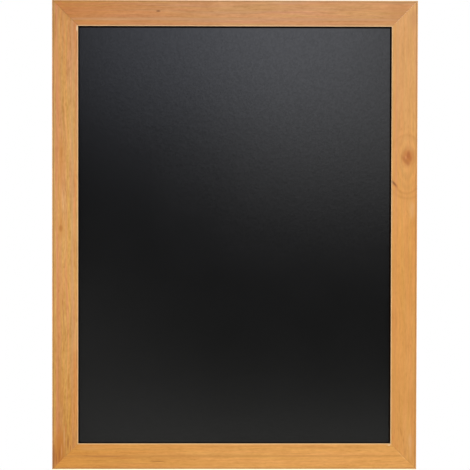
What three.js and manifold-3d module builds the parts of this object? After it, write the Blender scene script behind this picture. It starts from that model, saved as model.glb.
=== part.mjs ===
// Wall chalkboard: a black writing sheet on a hardboard back, held in a mitred and rebated wooden
// frame that hangs on the wall by two strap hangers with swinging D-rings.
//
// Millimetres, +Z up. The wall is the plane y = 0 and the writing face looks along -Y. The origin is
// on the wall, behind the middle of the board.

import * as THREE from 'three';
import { mergeVertices, toCreasedNormals } from 'three/addons/utils/BufferGeometryUtils.js';
import Module from 'manifold-3d';

const wasm = await Module();
wasm.setup();

// Frame: four rails of one section, round the part of the sheet that shows
const writingWidth = 600;
const writingHeight = 800;
const railWidth = 50;
const railDepth = 18; // back face to front face
const lipDepth = 6; // wood in front of the writing sheet
const rebateWidth = 8; // from the sight edge to the rebate's wall
const outerArris = 2; // radius at the outer front edge
const sightArris = 1.6; // radius at the inner front edge
const backArris = 1; // radius at both back edges
const mitreGap = 0.1; // glue line between two cut ends

// Writing sheet and the hardboard that it is glued to
const sheetThickness = 1;
const backingThickness = 3;
const glueLine = 0.1;
const lipGap = 0.2; // lip to the sheet's face
const panelEdgeGap = 1.5; // sheet's edge to the rebate's wall, so that the wood can move

// Flexible steel points that keep the panel in its rebate
const pointLength = 15;
const pointWidth = 6.5;
const pointThickness = 0.5;
const pointBite = 6; // length that is driven into the rebate's wall
const pointTip = 3; // length of the arrow end
const pointGap = 0.2; // point to the hardboard's back
const pointsPerRail = 3;
const pointsPerStile = 4;

// V-nails that pull each mitre together, driven from the back
const nailWing = 6.5;
const nailThickness = 0.6;
const nailHeight = 10;
const nailSink = 0.3; // below the wood's surface
const nailEdge = 0.8; // length of the sharpened edge
const nailPlaceShares = [0.38, 0.8]; // of the back face's width, from the outer edge
const slotClearance = 0.15; // around a driven nail or point

// Strap hangers: a steel strip folded round the straight bar of a D-ring
const strapWidth = 14;
const strapLength = 42; // ring's axis to the strap's lower end
const strapSheet = 1;
const strapFoldLength = 6; // ring's axis to where the two layers meet
const strapFoldGap = 0.1; // between the layers
const strapGap = 0.1; // strap to the wood
const knuckleEndPlay = 1; // ring's bar, at each end of the knuckle
const hangerDrop = 110; // board's top edge to the ring's axis

// D-ring
const wireDiameter = 2.5;
const wireClearance = 0.2; // in the knuckle
const ringSideGap = 1; // ring's legs to the strap's edges
const ringReach = 13.5; // ring's axis to the middle of the wire at its far end
const ringCorner = 3; // bend radius at the bar's ends, at the wire's middle
const ringButtGap = 0.3; // between the wire's two ends, inside the knuckle
const ringRestGap = 0.3; // wire to the strap that it lies against
const wireSides = 12;
const ringSteps = 56;

// Pan-head screws
const screwLength = 14; // under the head
const screwDiameter = 3.5;
const screwPoint = 4; // length of the tapered end
const headDiameter = 6.8;
const headHeight = 2.1;
const headBand = 0.5; // straight height of the head's edge
const headGap = 0.1; // head to strap
const recessSpan = 3.8; // cross recess, arm to arm
const recessArm = 0.9;
const recessDepth = 1.3;
const screwClearance = 0.25; // in the strap and in the pilot hole
const headRingGap = 1; // screw's head to the ring lying down
const pilotExtra = 1; // pilot hole below the screw's tip

// Wall bumpers, under the lower corners
const bumperDiameter = 12;
const bumperRound = 1.2;
const bumperInset = 80; // board's side to the bumper's middle
const bumperGap = 0.1; // adhesive
const wallClearance = 0.1; // strap's knuckle to the wall

const overrun = 1; // how far a cutting tool runs past the face that it enters

// Facets
const arrisSegments = 5;
const roundSegments = 24;
const bendSegments = 12;
const screwSegments = 20;

// Sizes that follow from the ones above
const boardWidth = writingWidth + 2 * railWidth;
const boardHeight = writingHeight + 2 * railWidth;
const wireRadius = wireDiameter / 2;
const knuckleInner = wireRadius + wireClearance;
const knuckleOuter = knuckleInner + strapSheet;
const strapStack = 2 * strapSheet + strapFoldGap;
const bumperHeight = strapGap + 2 * knuckleOuter + wallClearance;
const frameBackY = -bumperHeight;
const lipBackY = frameBackY - (railDepth - lipDepth);
const sheetBackY = lipBackY + lipGap + sheetThickness;
const backingBackY = sheetBackY + glueLine + backingThickness;
const pointY = backingBackY + pointGap + pointThickness / 2;
const backFaceWidth = railWidth - rebateWidth;
const panelWidth = boardWidth - 2 * (backFaceWidth + panelEdgeGap);
const panelHeight = boardHeight - 2 * (backFaceWidth + panelEdgeGap);
const ringHalfWidth = strapWidth / 2 + ringSideGap + wireRadius;
const barStraight = 2 * (ringHalfWidth - ringCorner);
const knuckleWidth = barStraight - 2 * knuckleEndPlay;
const screwDrops = [
  ringReach + wireRadius + headRingGap + headDiameter / 2,
  strapLength - strapWidth / 2,
];
const ringAxisY = frameBackY + strapGap + knuckleOuter;
// Hanging free, the ring lies on the strap, a little away from straight down.
const ringRestAngle = Math.asin(
  (strapStack + wireRadius + ringRestGap - knuckleOuter) / ringReach,
);

const wood = new THREE.MeshStandardMaterial({ color: 0xd69b5c, roughness: 0.45, metalness: 0 });
const melamine = new THREE.MeshStandardMaterial({ color: 0x18181a, roughness: 0.4, metalness: 0 });
const hardboard = new THREE.MeshStandardMaterial({ color: 0x7d5636, roughness: 0.85, metalness: 0 });
const zinc = new THREE.MeshStandardMaterial({ color: 0xc3c6c9, roughness: 0.35, metalness: 1 });
const steel = new THREE.MeshStandardMaterial({ color: 0x8f9296, roughness: 0.4, metalness: 1 });
const rubber = new THREE.MeshStandardMaterial({ color: 0x2b2b2c, roughness: 0.8, metalness: 0 });

// Outlines drawn in the XZ plane are extruded in XY first and then turned: x stays x, the outline's
// y becomes z, and the thickness runs along -y.
const standUp = new THREE.Matrix4().makeRotationX(Math.PI / 2);

// Sections drawn in the YZ plane are extruded along x: the outline's x becomes y and its y becomes z.
const runAlongX = new THREE.Matrix4().makeBasis(
  new THREE.Vector3(0, 1, 0),
  new THREE.Vector3(0, 0, 1),
  new THREE.Vector3(1, 0, 0),
);

function extrude(shape, depth, curveSegments = roundSegments) {
  return new THREE.ExtrudeGeometry(shape, { depth, curveSegments, bevelEnabled: false });
}

// A closed geometry as a solid that can be cut and joined.
function solidOf(geometry) {
  const bare = geometry.clone();
  bare.deleteAttribute('normal');
  bare.deleteAttribute('uv');
  const merged = mergeVertices(bare);
  return new wasm.Manifold(new wasm.Mesh({
    numProp: 3,
    vertProperties: merged.attributes.position.array,
    triVerts: new Uint32Array(merged.index.array),
  }));
}

// The solid as a geometry again, with hard edges where faces meet at an angle.
function geometryOf(solid) {
  const { vertProperties, triVerts } = solid.getMesh();
  const geometry = new THREE.BufferGeometry()
    .setAttribute('position', new THREE.BufferAttribute(vertProperties, 3))
    .setIndex(new THREE.BufferAttribute(triVerts, 1));
  return toCreasedNormals(geometry, Math.PI / 6);
}

function meshOf(name, geometry, material) {
  const mesh = new THREE.Mesh(geometry, material);
  mesh.name = name;
  return mesh;
}

// Takes each cutter out of the mesh. All of them are placed in the part's frame.
function cut(mesh, cutters) {
  mesh.updateMatrixWorld(true);
  const toLocal = mesh.matrixWorld.clone().invert();
  let solid = solidOf(mesh.geometry);
  for (const cutter of cutters) {
    cutter.updateMatrixWorld(true);
    const placed = cutter.matrixWorld.clone().premultiply(toLocal);
    solid = solid.subtract(solidOf(cutter.geometry.clone().applyMatrix4(placed)));
  }
  mesh.geometry = geometryOf(solid);
}

// The frame's four sides. The angle turns a rail about y from the bottom side, and the reach is from
// the board's middle to that side's outer edge.
const acrossSide = { length: boardWidth, reach: boardHeight / 2, points: pointsPerRail };
const uprightSide = { length: boardHeight, reach: boardWidth / 2, points: pointsPerStile };
const sides = [
  { name: 'bottom_rail', angle: 0, ...acrossSide },
  { name: 'right_stile', angle: -Math.PI / 2, ...uprightSide },
  { name: 'top_rail', angle: Math.PI, ...acrossSide },
  { name: 'left_stile', angle: Math.PI / 2, ...uprightSide },
];

const corners = [
  { name: 'top_right', angle: 0, right: 1, up: 1 },
  { name: 'bottom_right', angle: Math.PI / 2, right: 1, up: -1 },
  { name: 'bottom_left', angle: Math.PI, right: -1, up: -1 },
  { name: 'top_left', angle: -Math.PI / 2, right: -1, up: 1 },
];

// Puts an object at a distance along a side and inward from its outer edge, turned with that side.
function placeOnSide(object, side, along, inward, y) {
  const outward = inward - side.reach;
  object.rotation.y = side.angle;
  object.position.set(
    outward * Math.sin(side.angle) + along * Math.cos(side.angle),
    y,
    outward * Math.cos(side.angle) - along * Math.sin(side.angle),
  );
  return object;
}

// Section of a rail: x runs inward from the outer edge, y from the back face to the front.
function railSection() {
  const rebateBack = railDepth - lipDepth;
  const section = new THREE.Shape();
  section.moveTo(backArris, 0);
  section.absarc(backFaceWidth - backArris, backArris, backArris, -Math.PI / 2, 0, false);
  section.lineTo(backFaceWidth, rebateBack);
  section.lineTo(railWidth, rebateBack);
  section.absarc(railWidth - sightArris, railDepth - sightArris, sightArris, 0, Math.PI / 2, false);
  section.absarc(outerArris, railDepth - outerArris, outerArris, Math.PI / 2, Math.PI, false);
  section.absarc(backArris, backArris, backArris, Math.PI, 1.5 * Math.PI, false);
  return section;
}

// A rail with both ends mitred: the section runs the whole length, and each end is sheared to 45
// degrees by moving every point in by its own distance from the outer edge.
function railGeometry(length) {
  const geometry = extrude(railSection(), length, arrisSegments);
  const position = geometry.getAttribute('position');
  const endTrim = mitreGap / Math.SQRT2;
  for (let i = 0; i < position.count; i += 1) {
    const inward = position.getX(i);
    const end = Math.sign(position.getZ(i) - length / 2);
    position.setXYZ(i, end * (length / 2 - inward - endTrim), -position.getY(i), inward);
  }
  geometry.computeVertexNormals();
  return geometry;
}

// Outline of a V-nail seen from the back, its corner at the origin; grown makes the slot for it.
function nailOutline(grown = 0) {
  const half = nailThickness / 2 + grown;
  const tip = nailWing + grown;
  const outline = new THREE.Shape();
  outline.moveTo(-half, -half);
  outline.lineTo(tip, -half);
  outline.lineTo(tip, half);
  outline.lineTo(half, half);
  outline.lineTo(half, tip);
  outline.lineTo(-half, tip);
  return outline;
}

// A V-nail: the edge that enters the wood first is ground thin from both faces of each wing.
function nailGeometry() {
  const blunt = solidOf(extrude(nailOutline(), nailHeight - nailEdge).applyMatrix4(standUp));
  const edge = extrude(nailOutline(), nailEdge);
  const position = edge.getAttribute('position');
  const keepShare = 0.3; // of the thickness, left at the very edge
  for (let i = 0; i < position.count; i += 1) {
    if (position.getZ(i) === 0) continue;
    const [x, y] = [position.getX(i), position.getY(i)];
    const thin = (value) => (Math.abs(value) < nailThickness ? value * keepShare : value);
    position.setXY(i, thin(x), thin(y));
  }
  const sharp = solidOf(edge.applyMatrix4(standUp).translate(0, -(nailHeight - nailEdge), 0));
  return geometryOf(blunt.add(sharp));
}

// Nails enter at the back with both wings reaching outward, so that each wing crosses the grain.
function cornerNails() {
  const nails = new THREE.Group();
  const slots = [];
  nailPlaceShares.forEach((share, row) => {
    for (const corner of corners) {
      const inward = share * backFaceWidth;
      const place = (object, y) => {
        object.rotation.y = corner.angle;
        object.position.set(
          corner.right * (boardWidth / 2 - inward),
          y,
          corner.up * (boardHeight / 2 - inward),
        );
        return object;
      };
      const name = `v_nail_${corner.name}_${row + 1}`;
      nails.add(place(meshOf(name, nailGeometry(), steel), frameBackY - nailSink));
      const slotDepth = overrun + nailSink + nailHeight + slotClearance;
      const slot = extrude(nailOutline(slotClearance), slotDepth).applyMatrix4(standUp);
      slots.push(place(meshOf('slot', slot, steel), frameBackY + overrun));
    }
  });
  return { nails, slots };
}

// A flexible point, its arrow end driven outward into the rebate's wall, which is at z = 0.
function pointGeometry() {
  const half = pointWidth / 2;
  const outline = new THREE.Shape();
  outline.moveTo(0, -pointBite);
  outline.lineTo(half, pointTip - pointBite);
  outline.lineTo(half, pointLength - pointBite - half);
  outline.absarc(0, pointLength - pointBite - half, half, 0, Math.PI, false);
  outline.lineTo(-half, pointTip - pointBite);
  return extrude(outline, pointThickness, arrisSegments * 2)
    .applyMatrix4(standUp)
    .translate(0, pointThickness / 2, 0);
}

function panelPoints() {
  const points = new THREE.Group();
  const slots = [];
  for (const side of sides) {
    const opening = side.length - 2 * backFaceWidth;
    for (let i = 0; i < side.points; i += 1) {
      const along = ((i + 0.5) / side.points - 0.5) * opening;
      const name = `panel_point_${side.name}_${i + 1}`;
      const point = meshOf(name, pointGeometry(), steel);
      points.add(placeOnSide(point, side, along, backFaceWidth, pointY));
      const depth = pointBite + slotClearance + overrun;
      const slot = new THREE.BoxGeometry(
        pointWidth + 2 * slotClearance,
        pointThickness + 2 * slotClearance,
        depth,
      ).translate(0, 0, overrun - depth / 2);
      slots.push(placeOnSide(meshOf('slot', slot, steel), side, along, backFaceWidth, pointY));
    }
  }
  return { points, slots };
}

// A board of the panel's size, from its back plane towards the front.
function panelLayer(name, thickness, backY, material) {
  const layer = meshOf(name, new THREE.BoxGeometry(panelWidth, thickness, panelHeight), material);
  layer.position.y = backY - thickness / 2;
  return layer;
}

// Angle on a circle about the origin where a line from the point touches it, on the +x side.
function touchAngle(point, radius) {
  return Math.atan2(point.y, point.x) + Math.acos(radius / point.length());
}

// Side view of the strap: one strip that lies on the wood, goes round the ring's bar and comes back
// over itself. x is away from the wood and y is up, with the ring's axis at the origin.
function strapSection() {
  const layerInner = strapFoldGap - knuckleInner;
  const layerOuter = layerInner + strapSheet;
  const meetOuter = new THREE.Vector2(layerOuter, -strapFoldLength);
  const meetInner = new THREE.Vector2(layerInner, -strapFoldLength);
  const section = new THREE.Shape();
  section.moveTo(-knuckleOuter, -strapLength);
  section.absarc(0, 0, knuckleOuter, Math.PI, touchAngle(meetOuter, knuckleOuter), true);
  section.lineTo(meetOuter.x, meetOuter.y);
  section.lineTo(layerOuter, -strapLength);
  section.lineTo(layerInner, -strapLength);
  section.lineTo(meetInner.x, meetInner.y);
  section.absarc(0, 0, knuckleInner, touchAngle(meetInner, knuckleInner), Math.PI, false);
  section.lineTo(-knuckleInner, -strapLength);
  return section;
}

// Front view of the strap: a narrow knuckle, shoulders, and a round lower end.
function strapOutline() {
  const half = strapWidth / 2;
  const neck = knuckleWidth / 2;
  const shoulder = half - neck;
  const neckFoot = -knuckleOuter;
  const outline = new THREE.Shape();
  outline.moveTo(neck, knuckleOuter + overrun);
  outline.lineTo(-neck, knuckleOuter + overrun);
  outline.lineTo(-neck, neckFoot);
  outline.quadraticCurveTo(-neck, neckFoot - shoulder, -half, neckFoot - 2 * shoulder);
  outline.absarc(0, half - strapLength, half, Math.PI, 2 * Math.PI, false);
  outline.lineTo(half, neckFoot - 2 * shoulder);
  outline.quadraticCurveTo(neck, neckFoot - shoulder, neck, neckFoot);
  return outline;
}

function strapGeometry() {
  const strip = solidOf(
    extrude(strapSection(), strapWidth, bendSegments)
      .translate(0, 0, -strapWidth / 2)
      .applyMatrix4(runAlongX),
  );
  const blankDepth = 2 * (knuckleOuter + overrun);
  const blank = solidOf(
    extrude(strapOutline(), blankDepth, bendSegments)
      .applyMatrix4(standUp)
      .translate(0, blankDepth / 2, 0),
  );
  let strap = strip.intersect(blank);
  for (const drop of screwDrops) {
    const radius = screwDiameter / 2 + screwClearance;
    const drill = new THREE.CylinderGeometry(radius, radius, blankDepth, screwSegments);
    strap = strap.subtract(solidOf(drill.translate(0, 0, -drop)));
  }
  return geometryOf(strap);
}

// Centre line of the bent wire: from the middle of the straight bar, round one corner, down a leg,
// round the bow and back up to the bar. x is across and z is up, with the bar on the x axis.
class RingLine extends THREE.Curve {
  constructor() {
    super();
    this.legFoot = ringHalfWidth - ringReach;
    const halfBar = barStraight / 2 - ringButtGap / 2;
    const quarter = (Math.PI / 2) * ringCorner;
    const leg = -ringCorner - this.legFoot;
    const bow = Math.PI * ringHalfWidth;
    this.lengths = [halfBar, quarter, leg, bow, leg, quarter, halfBar];
  }

  getPoint(t, target = new THREE.Vector3()) {
    const total = this.lengths.reduce((sum, length) => sum + length, 0);
    let along = t * total;
    let part = 0;
    while (part < this.lengths.length - 1 && along > this.lengths[part]) {
      along -= this.lengths[part];
      part += 1;
    }
    const share = along / this.lengths[part];
    const cornerX = ringHalfWidth - ringCorner;
    const turn = (share * Math.PI) / 2;
    switch (part) {
      case 0:
        return target.set(ringButtGap / 2 + along, 0, 0);
      case 1:
        return target.set(cornerX + ringCorner * Math.sin(turn), 0, ringCorner * (Math.cos(turn) - 1));
      case 2:
        return target.set(ringHalfWidth, 0, -ringCorner - along);
      case 3:
        return target.set(
          ringHalfWidth * Math.cos(share * Math.PI),
          0,
          this.legFoot - ringHalfWidth * Math.sin(share * Math.PI),
        );
      case 4:
        return target.set(-ringHalfWidth, 0, this.legFoot + along);
      case 5:
        return target.set(-cornerX - ringCorner * Math.cos(turn), 0, ringCorner * (Math.sin(turn) - 1));
      default:
        return target.set(-cornerX + along, 0, 0);
    }
  }
}

function ringGeometry() {
  const section = new THREE.Shape();
  for (let i = 0; i < wireSides; i += 1) {
    const angle = (2 * Math.PI * i) / wireSides;
    const [x, y] = [wireRadius * Math.cos(angle), wireRadius * Math.sin(angle)];
    if (i === 0) section.moveTo(x, y);
    else section.lineTo(x, y);
  }
  return new THREE.ExtrudeGeometry(section, { steps: ringSteps, extrudePath: new RingLine() });
}

// A pan-head screw with its head's underside at y = 0, pointing along -y into the wood.
function screwGeometry() {
  const shank = screwDiameter / 2;
  const head = headDiameter / 2;
  const crown = headHeight - headBand;
  const profile = [
    new THREE.Vector2(0, -screwLength),
    new THREE.Vector2(shank, screwPoint - screwLength),
    new THREE.Vector2(shank, 0),
    new THREE.Vector2(head, 0),
  ];
  const crownSteps = 6;
  for (let i = 0; i <= crownSteps; i += 1) {
    const angle = (i / crownSteps) * (Math.PI / 2);
    const radius = i === crownSteps ? 0 : head * Math.cos(angle);
    profile.push(new THREE.Vector2(radius, headBand + crown * Math.sin(angle)));
  }
  let screw = solidOf(new THREE.LatheGeometry(profile, screwSegments));
  const armDepth = recessDepth + overrun;
  for (const [spanX, spanZ] of [[recessSpan, recessArm], [recessArm, recessSpan]]) {
    const arm = new THREE.BoxGeometry(spanX, armDepth, spanZ);
    screw = screw.subtract(solidOf(arm.translate(0, headHeight - recessDepth + armDepth / 2, 0)));
  }
  return geometryOf(screw);
}

// One hanger: strap, ring and screws, with the ring's axis at the group's origin. It also gives the
// drills for the pilot holes that the stile needs.
function hanger(name, x) {
  const group = new THREE.Group();
  group.position.set(x, ringAxisY, boardHeight / 2 - hangerDrop);
  group.add(meshOf(`${name}_hanger_strap`, strapGeometry(), zinc));

  const ring = meshOf(`${name}_hanger_ring`, ringGeometry(), zinc);
  ring.rotation.x = ringRestAngle;
  group.add(ring);

  const strapFace = strapStack - knuckleOuter;
  const pilotDepth = strapStack + strapGap + screwLength + pilotExtra;
  const radius = screwDiameter / 2 + screwClearance;
  const drills = [];
  screwDrops.forEach((drop, row) => {
    const screw = meshOf(`${name}_hanger_screw_${row + 1}`, screwGeometry(), zinc);
    screw.position.set(0, strapFace + headGap, -drop);
    group.add(screw);
    const bit = new THREE.CylinderGeometry(radius, radius, pilotDepth, screwSegments);
    const drill = meshOf('drill', bit, zinc);
    drill.position.set(0, strapFace + headGap - screwLength - pilotExtra + pilotDepth / 2, -drop);
    group.add(drill);
    drills.push(drill);
  });
  group.updateMatrixWorld(true);
  for (const drill of drills) {
    drill.removeFromParent();
    drill.applyMatrix4(group.matrixWorld);
  }
  return { group, drills };
}

function bumperGeometry() {
  const radius = bumperDiameter / 2;
  const height = bumperHeight - bumperGap;
  const profile = [new THREE.Vector2(0, 0), new THREE.Vector2(radius, 0)];
  for (let i = 0; i <= arrisSegments; i += 1) {
    const angle = (i / arrisSegments) * (Math.PI / 2);
    profile.push(new THREE.Vector2(
      radius - bumperRound * (1 - Math.cos(angle)),
      height - bumperRound * (1 - Math.sin(angle)),
    ));
  }
  profile.push(new THREE.Vector2(0, height));
  return new THREE.LatheGeometry(profile, roundSegments);
}

function wallBumpers() {
  const bumpers = new THREE.Group();
  for (const [name, right] of [['left', -1], ['right', 1]]) {
    const bumper = meshOf(`${name}_wall_bumper`, bumperGeometry(), rubber);
    bumper.position.set(
      right * (boardWidth / 2 - bumperInset),
      frameBackY + bumperGap,
      backFaceWidth / 2 - boardHeight / 2,
    );
    bumpers.add(bumper);
  }
  return bumpers;
}

function chalkboard() {
  const board = new THREE.Group();
  const { nails, slots: nailSlots } = cornerNails();
  const { points, slots: pointSlots } = panelPoints();
  const stileMiddle = boardWidth / 2 - backFaceWidth / 2;
  const hangers = [hanger('left', -stileMiddle), hanger('right', stileMiddle)];
  const cutters = [...nailSlots, ...pointSlots, ...hangers.flatMap(({ drills }) => drills)];

  const frame = new THREE.Group();
  for (const side of sides) {
    const rail = meshOf(side.name, railGeometry(side.length), wood);
    placeOnSide(rail, side, 0, 0, frameBackY);
    cut(rail, cutters);
    frame.add(rail);
  }

  board.add(
    frame,
    panelLayer('writing_sheet', sheetThickness, sheetBackY, melamine),
    panelLayer('backing_board', backingThickness, backingBackY, hardboard),
    nails,
    points,
    ...hangers.map(({ group }) => group),
    wallBumpers(),
  );
  return board;
}

const part = chalkboard();

export default part;
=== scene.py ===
"""Looks of a wall chalkboard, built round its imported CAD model.

Metres, +Z up. The wall is the plane y = 0, the writing face looks along -Y and the origin is on the wall,
behind the middle of the board. The board's sizes and patterns are given in millimetres, and its sizes are
turned to metres where a mesh is made. The studio round it is given in metres.
"""

import logging
import math
from collections.abc import Callable
from dataclasses import dataclass
from enum import Enum
import bmesh
import bpy
from bmesh.types import BMesh
from bpy.types import Material, Mesh, Node, NodeSocket, NodeTree, Object
from mathutils import Matrix, Vector


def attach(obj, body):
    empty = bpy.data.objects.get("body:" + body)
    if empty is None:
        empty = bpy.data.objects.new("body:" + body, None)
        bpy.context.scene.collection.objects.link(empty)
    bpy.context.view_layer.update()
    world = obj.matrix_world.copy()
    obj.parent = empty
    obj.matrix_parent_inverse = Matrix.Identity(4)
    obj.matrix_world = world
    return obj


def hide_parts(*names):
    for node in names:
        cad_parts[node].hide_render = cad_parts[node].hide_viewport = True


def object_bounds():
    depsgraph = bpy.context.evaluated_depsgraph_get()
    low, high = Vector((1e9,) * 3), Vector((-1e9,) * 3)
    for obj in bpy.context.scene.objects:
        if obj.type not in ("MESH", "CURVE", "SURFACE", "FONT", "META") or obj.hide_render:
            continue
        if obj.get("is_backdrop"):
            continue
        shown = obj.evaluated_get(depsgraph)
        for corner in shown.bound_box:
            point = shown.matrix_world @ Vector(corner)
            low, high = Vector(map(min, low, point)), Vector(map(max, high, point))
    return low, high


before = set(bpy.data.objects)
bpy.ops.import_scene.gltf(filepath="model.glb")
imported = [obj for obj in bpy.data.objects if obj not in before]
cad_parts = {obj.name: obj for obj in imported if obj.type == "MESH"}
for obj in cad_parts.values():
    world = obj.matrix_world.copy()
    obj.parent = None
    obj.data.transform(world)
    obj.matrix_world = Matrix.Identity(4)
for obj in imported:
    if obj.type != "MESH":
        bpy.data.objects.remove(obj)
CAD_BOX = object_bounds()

MM = 0.001
PICTURE_SIDE = 470
PICTURE_SHIFT = 0.3  # pixels from the board's middle to the picture's
PIXELS_PER_METRE = 521.8  # at the frame's face, in the photograph
MERGED = 0.002  # points of a mesh that lie closer than this, in millimetres, are one
log = logging.getLogger("chalkboard")

# Sizes that several sub-assemblies share, in millimetres
SIGHT = (300.0, 400.0)  # half of the opening's width and height
RAIL_WIDTH = 50.0
REBATE_WALL = 42.0  # from the outer edge
BACK_Y = -5.1  # the frame's back face
RING_AXIS = (-2.55, 340.0)  # y and z of the D-rings' bars
SCREW_HEIGHTS = (320.85, 305.0)

Value = NodeSocket | Node | Material | float | int | bool | str | tuple | list | None


def linear(hex_colour: str) -> tuple[float, float, float, float]:
    """Turns an sRGB hex value into the linear colour that a shader takes.

    Args:
        hex_colour: six hex digits after a hash.

    Returns:
        Red, green, blue and an opaque alpha.
    """
    channels = (int(hex_colour[i:i + 2], 16) / 255 for i in (1, 3, 5))
    return (*(c / 12.92 if c <= 0.04045 else ((c + 0.055) / 1.055) ** 2.4 for c in channels), 1.0)


def at_pixel(x: float, y: float) -> tuple[float, float]:
    """Place on the frame's face that a pixel of the photograph shows.

    Args:
        x: pixels from the picture's left side.
        y: pixels from the picture's top.

    Returns:
        Millimetres to the right of the board's middle, and above it.
    """
    scale = 1 / (MM * PIXELS_PER_METRE)
    return (x - PICTURE_SIDE / 2 + PICTURE_SHIFT) * scale, (PICTURE_SIDE / 2 - y) * scale


def feed(tree: NodeTree, socket: NodeSocket, value: Value) -> None:
    """Sets or links one input.

    Args:
        tree: the tree that it is in.
        socket: the input.
        value: a plain value, a hex colour, a socket, a node, or a list of nodes for an input that takes
            several. None leaves the input as it is.
    """
    for item in value if isinstance(value, list) else [value]:
        if isinstance(item, Node):
            item = next(output for output in item.outputs if output.enabled)
        if isinstance(item, NodeSocket):
            tree.links.new(item, socket)
        elif item is not None:
            socket.default_value = linear(item) if isinstance(item, str) and item.startswith("#") else item


def add_node(tree: NodeTree, kind: str, *inputs: Value, **settings: Value) -> Node:
    """Adds a node to a tree with its settings and links.

    Args:
        tree: the tree that gets the node.
        kind: the node's type without ShaderNode or GeometryNode before it. Its operation, data type or mode
            may follow after a colon.
        *inputs: what goes into its inputs in their order, as feed takes it.
        **settings: inputs by name with _ for a blank, a ramp's stops, and the node's own properties.

    Returns:
        The new node.
    """
    name, _, option = kind.partition(":")
    family = next(word for word in ("ShaderNode", "GeometryNode", "") if hasattr(bpy.types, word + name))
    node = tree.nodes.new(family + name)
    if option:
        setattr(node, next(key for key in ("operation", "data_type", "mode") if hasattr(node, key)), option)
    names = {socket.name for socket in node.inputs}
    named = {}
    for key, value in settings.items():
        if key.replace("_", " ") in names:
            named[key.replace("_", " ")] = value
        elif key == "stops":
            for element, (position, hex_colour) in zip(node.color_ramp.elements, value):
                element.position = position
                element.color = linear(hex_colour)
            for position, hex_colour in value[len(node.color_ramp.elements):]:
                node.color_ramp.elements.new(position).color = linear(hex_colour)
        else:
            setattr(node, key, value)
    enabled = [socket for socket in node.inputs if socket.enabled]
    for socket, value in zip(enabled, inputs):
        feed(tree, socket, value)
    for key, value in named.items():
        feed(tree, next(socket for socket in enabled if socket.name == key), value)
    return node


def new_object(name: str, mesh: Mesh | BMesh) -> Object:
    """Puts a mesh into the scene as an object at the origin.

    Args:
        name: the piece's name.
        mesh: its mesh, finished or still being drawn.

    Returns:
        The object.
    """
    if isinstance(mesh, BMesh):
        shape, mesh = mesh, bpy.data.meshes.new(name)
        shape.to_mesh(mesh)
        shape.free()
    obj = bpy.data.objects.new(name, mesh)
    bpy.context.scene.collection.objects.link(obj)
    return obj


def shaped(obj: Object, kind: str, inputs: dict[str, Value], **settings: Value) -> Object:
    """Runs a modifier on an object and makes the result its plain mesh.

    Args:
        obj: the object.
        kind: the modifier's type.
        inputs: values of a node tree's inputs, by identifier.
        **settings: the modifier's own properties.

    Returns:
        The same object.
    """
    modifier = obj.modifiers.new(kind.lower(), kind)
    for key, value in settings.items():
        setattr(modifier, key, value)
    for key, value in inputs.items():
        modifier[key] = value
    bpy.context.view_layer.update()
    depsgraph = bpy.context.evaluated_depsgraph_get()
    mesh = bpy.data.meshes.new_from_object(obj.evaluated_get(depsgraph), depsgraph=depsgraph)
    obj.modifiers.clear()
    obj.data = mesh
    return obj


def tidy_mesh(obj: Object, sharp_angle: float = 30.0) -> Object:
    """Merges doubles, points the faces outward and smooths all but the sharp edges.

    Large faces keep their own normals, so that a flat face mirrors as a flat one beside a broken edge.

    Args:
        obj: the object whose plain mesh is finished.
        sharp_angle: edges that turn more than this, in degrees, stay sharp.

    Returns:
        The same object.
    """
    shape = bmesh.new()
    shape.from_mesh(obj.data)
    bmesh.ops.remove_doubles(shape, verts=shape.verts, dist=MERGED * MM)
    bmesh.ops.recalc_face_normals(shape, faces=shape.faces)
    for face in shape.faces:
        face.smooth = True
    shape.to_mesh(obj.data)
    shape.free()
    obj.data.set_sharp_from_angle(angle=math.radians(sharp_angle))
    return shaped(obj, "WEIGHTED_NORMAL", {}, keep_sharp=True)


def bevel_edges(obj: Object, width: float, angle: float = 40.0, segments: int = 2) -> Object:
    """Breaks an object's sharp edges, as tumbling, sanding or a moulding tool does.

    Args:
        obj: the object.
        width: the bevel's width, in millimetres.
        angle: edges that turn more than this, in degrees, are broken.
        segments: faces across the bevel.

    Returns:
        The same object.
    """
    return shaped(obj, "BEVEL", {}, width=width * MM, segments=segments, limit_method="ANGLE",
                  angle_limit=math.radians(angle))


def add_box(shape: BMesh, middle: tuple[float, ...], size: tuple[float, ...]) -> None:
    """Draws a box.

    Args:
        shape: the mesh that gets it.
        middle: its middle, mm.
        size: its size along each axis, mm.
    """
    place = Matrix.Translation(Vector(middle) * MM)
    scale = Matrix.Diagonal((*(length * MM for length in size), 1.0))
    bmesh.ops.create_cube(shape, size=1.0, matrix=place @ scale)


def drawn_mesh(name: str, points: list[Vector], closed: bool | None = None, **attributes: list) -> Mesh:
    """A mesh of loose points, or of points joined into a line, each with its own values.

    Args:
        name: the mesh's name.
        points: the points, mm.
        closed: True joins them into a ring, False into an open line, and None leaves them loose.
        **attributes: a length in millimetres or a vector for each point, by the attribute's name.

    Returns:
        The mesh.
    """
    count = len(points)
    joined = 0 if closed is None else count if closed else count - 1
    mesh = bpy.data.meshes.new(name)
    mesh.from_pydata([point * MM for point in points], [(i, (i + 1) % count) for i in range(joined)], [])
    for key, values in attributes.items():
        lengths = isinstance(values[0], (int, float))
        attribute = mesh.attributes.new(key, "FLOAT" if lengths else "FLOAT_VECTOR", "POINT")
        for item, value in zip(attribute.data, values):
            setattr(item, "value" if lengths else "vector", value * MM if lengths else value)
    return mesh


def anchor_mesh(*anchors: tuple[Vector, float]) -> Mesh:
    """Points at which a tree sets a shape.

    Args:
        *anchors: the place of each in millimetres, and how far it is turned about the y axis in degrees.

    Returns:
        The mesh.
    """
    turns = [Vector((0.0, math.radians(angle), 0.0)) for _, angle in anchors]
    return drawn_mesh("anchors", [place for place, _ in anchors], turn=turns)


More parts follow.
